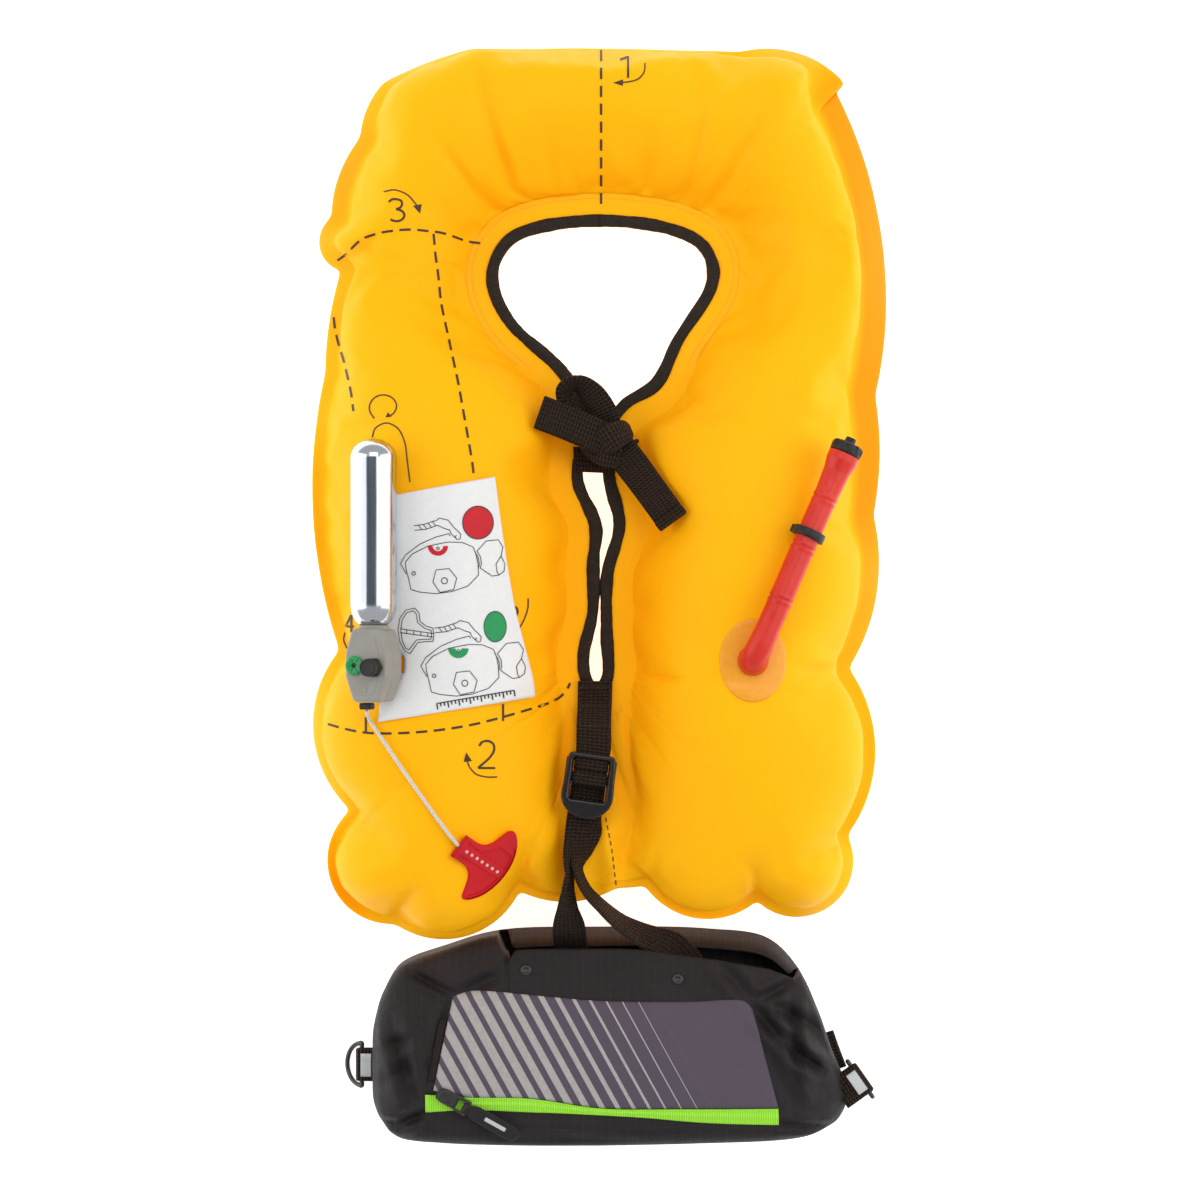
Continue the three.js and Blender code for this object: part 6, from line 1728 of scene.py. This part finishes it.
FOLD_HEADS = np.array([
    [(6.9, 286.2), (12.5, 288.1), (12.5, 284.4)], [(-100.3, 213.5), (-104.2, 217.9), (-99.4, 218.9)],
    [(-74.7, -85.6), (-76.1, -91.1), (-71.4, -90.6)], [(-119.4, 100.3), (-118.1, 103.3), (-116.1, 100.7)],
])
WELD_LINES, WELD_LINES_FROM_Y = (11, 14.2), 128
POUCH_SEAMS = np.array([
    (-108, -208, -84, -220.5), (-113, -291, -99, -286.8), (100, -294, 118, -294.4), (85, -226, 91, -214),
])
PLEAT_STITCH = [(2.8, -122), (6.2, -140), (8.8, -161)]
TAB_STITCHES = [
    [(-11.6, -49.5), (5.2, -49.5), (5.2, -71), (-11.6, -71), (-11.6, -49.5)], [(-11.6, -60), (5.2, -60)],
]


def stroke(line, width):
    """A grid of two rows of places along a line, as wide as a pen stroke."""
    line = np.asarray(line, float)
    run = length_along(line)
    wanted = np.union1d(run, np.linspace(0, run[-1], max(2, math.ceil(run[-1] / 1.3))))
    line = np.column_stack([np.interp(wanted, run, line[:, k]) for k in (0, 1)])
    tangent = np.gradient(line, axis=0)
    tangent /= np.linalg.norm(tangent, axis=1)[:, None]
    side = np.column_stack([-tangent[:, 1], tangent[:, 0]]) * width / 2
    return np.array([line + side, line - side])


def dashes(line, width, dash, gap):
    """Strokes of one length along a line, with gaps between them."""
    line = np.asarray(line, float)
    run = length_along(line)
    strokes = []
    for start in np.arange(0, run[-1] - dash / 2, dash + gap):
        wanted = np.linspace(start, min(start + dash, run[-1]), 6)
        strokes.append(stroke(np.column_stack([np.interp(wanted, run, line[:, k]) for k in (0, 1)]), width))
    return strokes


def disc(x, y, wide, tall, inner=0.0, turn=(0, 2 * math.pi)):
    """A grid over a filled ellipse, or over the part of a ring between two angles."""
    angles = np.linspace(*turn, 41)
    rim = np.column_stack([wide * np.cos(angles), tall * np.sin(angles)])
    return np.array([rim * part + (x, y) for part in np.linspace(max(inner, 0.01), 1, 9)])


def printed(name, surface, grids, finish, slot, rise=0.22):
    """Thin print on a surface, seen by the camera at the given places."""
    points, faces = [], []
    for grid in grids:
        rows, columns = grid.shape[:2]
        faces += [tuple(k + len(points) for k in face) for face in grid_faces(rows, columns)]
        points += [surface.seen(x, y, rise) for row in grid for x, y in row]
    return piece(name, points, faces, finish, slot=slot)


def make_card():
    """White card over the lobe, slotted round the inflator's stem."""
    plan = between(CARD_LEFT, CARD_RIGHT, 46, 66)
    solid = Surface(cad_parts["instruction_tag"])
    floor = np.array([[lobes.highest(x, y, 4) for x, y in row] for row in plan]) + 0.4 + CARD_THICK / 2
    high = np.maximum(floor, [[solid.height(x, y) - CARD_THICK / 2 for x, y in row] for row in plan])
    for _ in range(8):
        padded = np.pad(high, 1, mode="edge")
        high = (padded[:-2, 1:-1] + padded[2:, 1:-1] + padded[1:-1, :-2] + padded[1:-1, 2:]) / 4
    high = np.maximum(high, floor)
    points = np.dstack([plan, high]).reshape(-1, 3)
    foot = np.array(INFLATOR_FRAME @ Vector((0, 0, -6)))
    near = np.linalg.norm(points[:, :2] - foot[:2], axis=1) < CARD_SLOT
    faces = [face for face in grid_faces(*plan.shape[:2]) if not near[list(face)].any()]
    card = piece("tag_card", points, faces, CARD, "instruction_tag", "card")
    area = sum(polygon.area for polygon in card.data.polygons)
    wall = card.modifiers.new("wall", "SOLIDIFY")
    wall.thickness = CARD_THICK * MM
    wall.offset = 0
    settle(card)
    return card, area


def make_card_print(card):
    surface = Surface(card)
    upper = [np.array(line) for line in PICTURE]
    lines = [*upper, *[line + LOWER_PICTURE for line in upper], *[np.array(line) for line in HANDLE_PICTURE]]
    grids = [stroke(line, PEN) for line in lines]
    rule = np.array([(-91, -58.6), (-48.2, -51.2)])
    down = np.array([0.17, -0.98])
    for k, part in enumerate(np.linspace(0, 1, 22)):
        start = rule[0] + (rule[1] - rule[0]) * part
        grids.append(stroke([start, start + down * (3.4 if k % 3 == 0 else 2.0)], 0.75))
    grids.append(stroke(rule, 0.6))
    for x, y in ((0, 0), LOWER_PICTURE):
        grids.append(disc(-103.8 + x, 13.7 + y, 1.2, 1.2, 0.62))
        grids.append(disc(-86.7 + x, 9.6 + y, 1.9, 1.9, 0.75))
        grids.append(disc(-90.3 + x, 27.6 + y, 0.9, 0.9, 0.55))
    for x, y, wide, tall in ((-68.1, 41.9, 8.8, 9.4), (-58.6, -15.9, 6.4, 8.7)):
        grids.append(disc(x, y, wide, tall, 0.94))
    dark = printed("card_lines", surface, grids, PRINT_DARK, "card", 0.26)
    half = (math.pi, 2 * math.pi)
    red = [disc(-68.1, 41.9, 8.4, 9.0), disc(-90.3, 28.9, 5.6, 5.4, 0.52, half)]
    x, y = LOWER_PICTURE
    green = [disc(-58.6, -15.9, 6.1, 8.4), disc(-90.3 + x, 28.9 + y, 5.6, 5.4, 0.3, half)]
    return [dark, printed("card_red_marks", surface, red, PRINT_RED, "card"),
            printed("card_green_marks", surface, green, PRINT_GREEN, "card")]


def make_fold_marks():
    grids = []
    for line in FOLD_DASHES:
        grids += dashes(curve(line, 8), DASH_WIDE, DASH, DASH_GAP)
    grids += [stroke(curve(line, 8), ARROW_WIDE) for line in FOLD_ARCS]
    grids += [stroke(curve(line, 8), NUMERAL_WIDE) for line in NUMERAL_ARCS]
    grids += [stroke(line, NUMERAL_WIDE) for line in NUMERAL_LINES]
    grids += [np.array([[tip, left], [tip, right]]) for tip, left, right in FOLD_HEADS]
    grids += dashes(curve(PLEAT_STITCH, 8), 0.7, 2.6, 1.8)
    printed("fold_marks", lobes, grids, INK, "bladder_cloth")


def make_weld_lines():
    """Faint double line of the weld round the neck."""
    tangent = np.roll(FINE_NECK, -1, 0) - np.roll(FINE_NECK, 1, 0)
    tangent /= np.linalg.norm(tangent, axis=1)[:, None]
    out = np.column_stack([-tangent[:, 1], tangent[:, 0]])
    grids = []
    for reach in WELD_LINES:
        line = np.roll(FINE_NECK + out * reach, len(FINE_NECK) // 2, axis=0)
        grids.append(stroke(line[line[:, 1] > WELD_LINES_FROM_Y], 0.6))
    printed("weld_lines", lobes, grids, WELD, "bladder_cloth", 0.12)


def make_pouch_seams():
    """Seam lines where the pouch's gussets meet its front."""
    grids = [stroke(np.linspace(seam[:2], seam[2:], 24), 0.7) for seam in POUCH_SEAMS]
    printed("pouch_seams", pouch_front, grids, TAPE, "pouch_cloth", 0.12)


def make_stitches():
    grids = []
    for line in TAB_STITCHES:
        grids += dashes(line, 0.55, 2.3, 0.7)
    printed("tab_stitches", Surface(tab), grids, THREAD, "webbing", 0.3)


card, card_area = make_card()
make_card_print(card)
make_fold_marks()
make_weld_lines()
make_pouch_seams()
make_stitches()
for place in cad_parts["inflator_stem"].material_slots:
    place.material = VALVE_BLACK.material


# Floor, boards and light, in metres
FLOOR_REACH = 6.0
BOARD_NEAR, BOARD_FAR, BOARD_HEIGHT = -0.5, 0.6, 2.9


def soft_box(name, place, aim, size, power):
    data = bpy.data.lights.new(name, "AREA")
    data.shape = "RECTANGLE"
    data.size, data.size_y = size
    data.energy = power
    lamp = bpy.data.objects.new(name, data)
    lamp.location = place
    lamp.rotation_euler = (Vector(aim) - Vector(place)).to_track_quat("-Z", "Y").to_euler()
    lamp.visible_camera = False
    bpy.context.scene.collection.objects.link(lamp)


def studio_sheet(name, low, high, height, finish):
    """A level rectangle of the studio, in metres."""
    (left, near), (right, far) = low, high
    corners = [(left, near, height), (right, near, height), (right, far, height), (left, far, height)]
    mesh = bpy.data.meshes.new(name)
    mesh.from_pydata(corners, [], [(0, 1, 2, 3)])
    mesh.materials.append(finish.material)
    sheet = bpy.data.objects.new(name, mesh)
    bpy.context.scene.collection.objects.link(sheet)
    return sheet


def board(name, left, right, finish):
    """A board above the camera that bright metal shows as a strip."""
    sheet = studio_sheet(name, (left, BOARD_NEAR), (right, BOARD_FAR), BOARD_HEIGHT, finish)
    sheet.visible_camera = False


def make_studio():
    paper = Finish("floor_paper", (0.96, 0.96, 0.96), 0.9,
                   **{"Emission Color": (1, 1, 1, 1), "Emission Strength": 0.8})
    studio_sheet("floor", (-FLOOR_REACH, -FLOOR_REACH), (FLOOR_REACH, FLOOR_REACH), 0, paper)
    world = bpy.data.worlds.new("studio")
    world.use_nodes = True
    world.node_tree.nodes["Background"].inputs["Color"].default_value = (1, 1, 1, 1)
    world.node_tree.nodes["Background"].inputs["Strength"].default_value = 0.6
    bpy.context.scene.world = world
    bpy.context.scene.view_settings.view_transform = "Standard"
    soft_box("left_box", (-2.2, 0.2, 1.0), (0, 0, 0.05), (1.8, 3.0), 25)
    soft_box("right_box", (2.2, 0.2, 1.0), (0, 0, 0.05), (1.8, 3.0), 21)
    soft_box("top_box", (0.0, 1.1, 2.4), (0, 0, 0.05), (1.8, 1.0), 12)
    board("dark_board", -5.8, 0.7, Finish("board_felt", (0.05, 0.065, 0.08), 0.95))
    board("white_board", 0.71, 5.0, Finish("board_paper", (0.9, 0.9, 0.9), 0.9,
                                           **{"Emission Color": (1, 1, 1, 1), "Emission Strength": 0.5}))


make_studio()
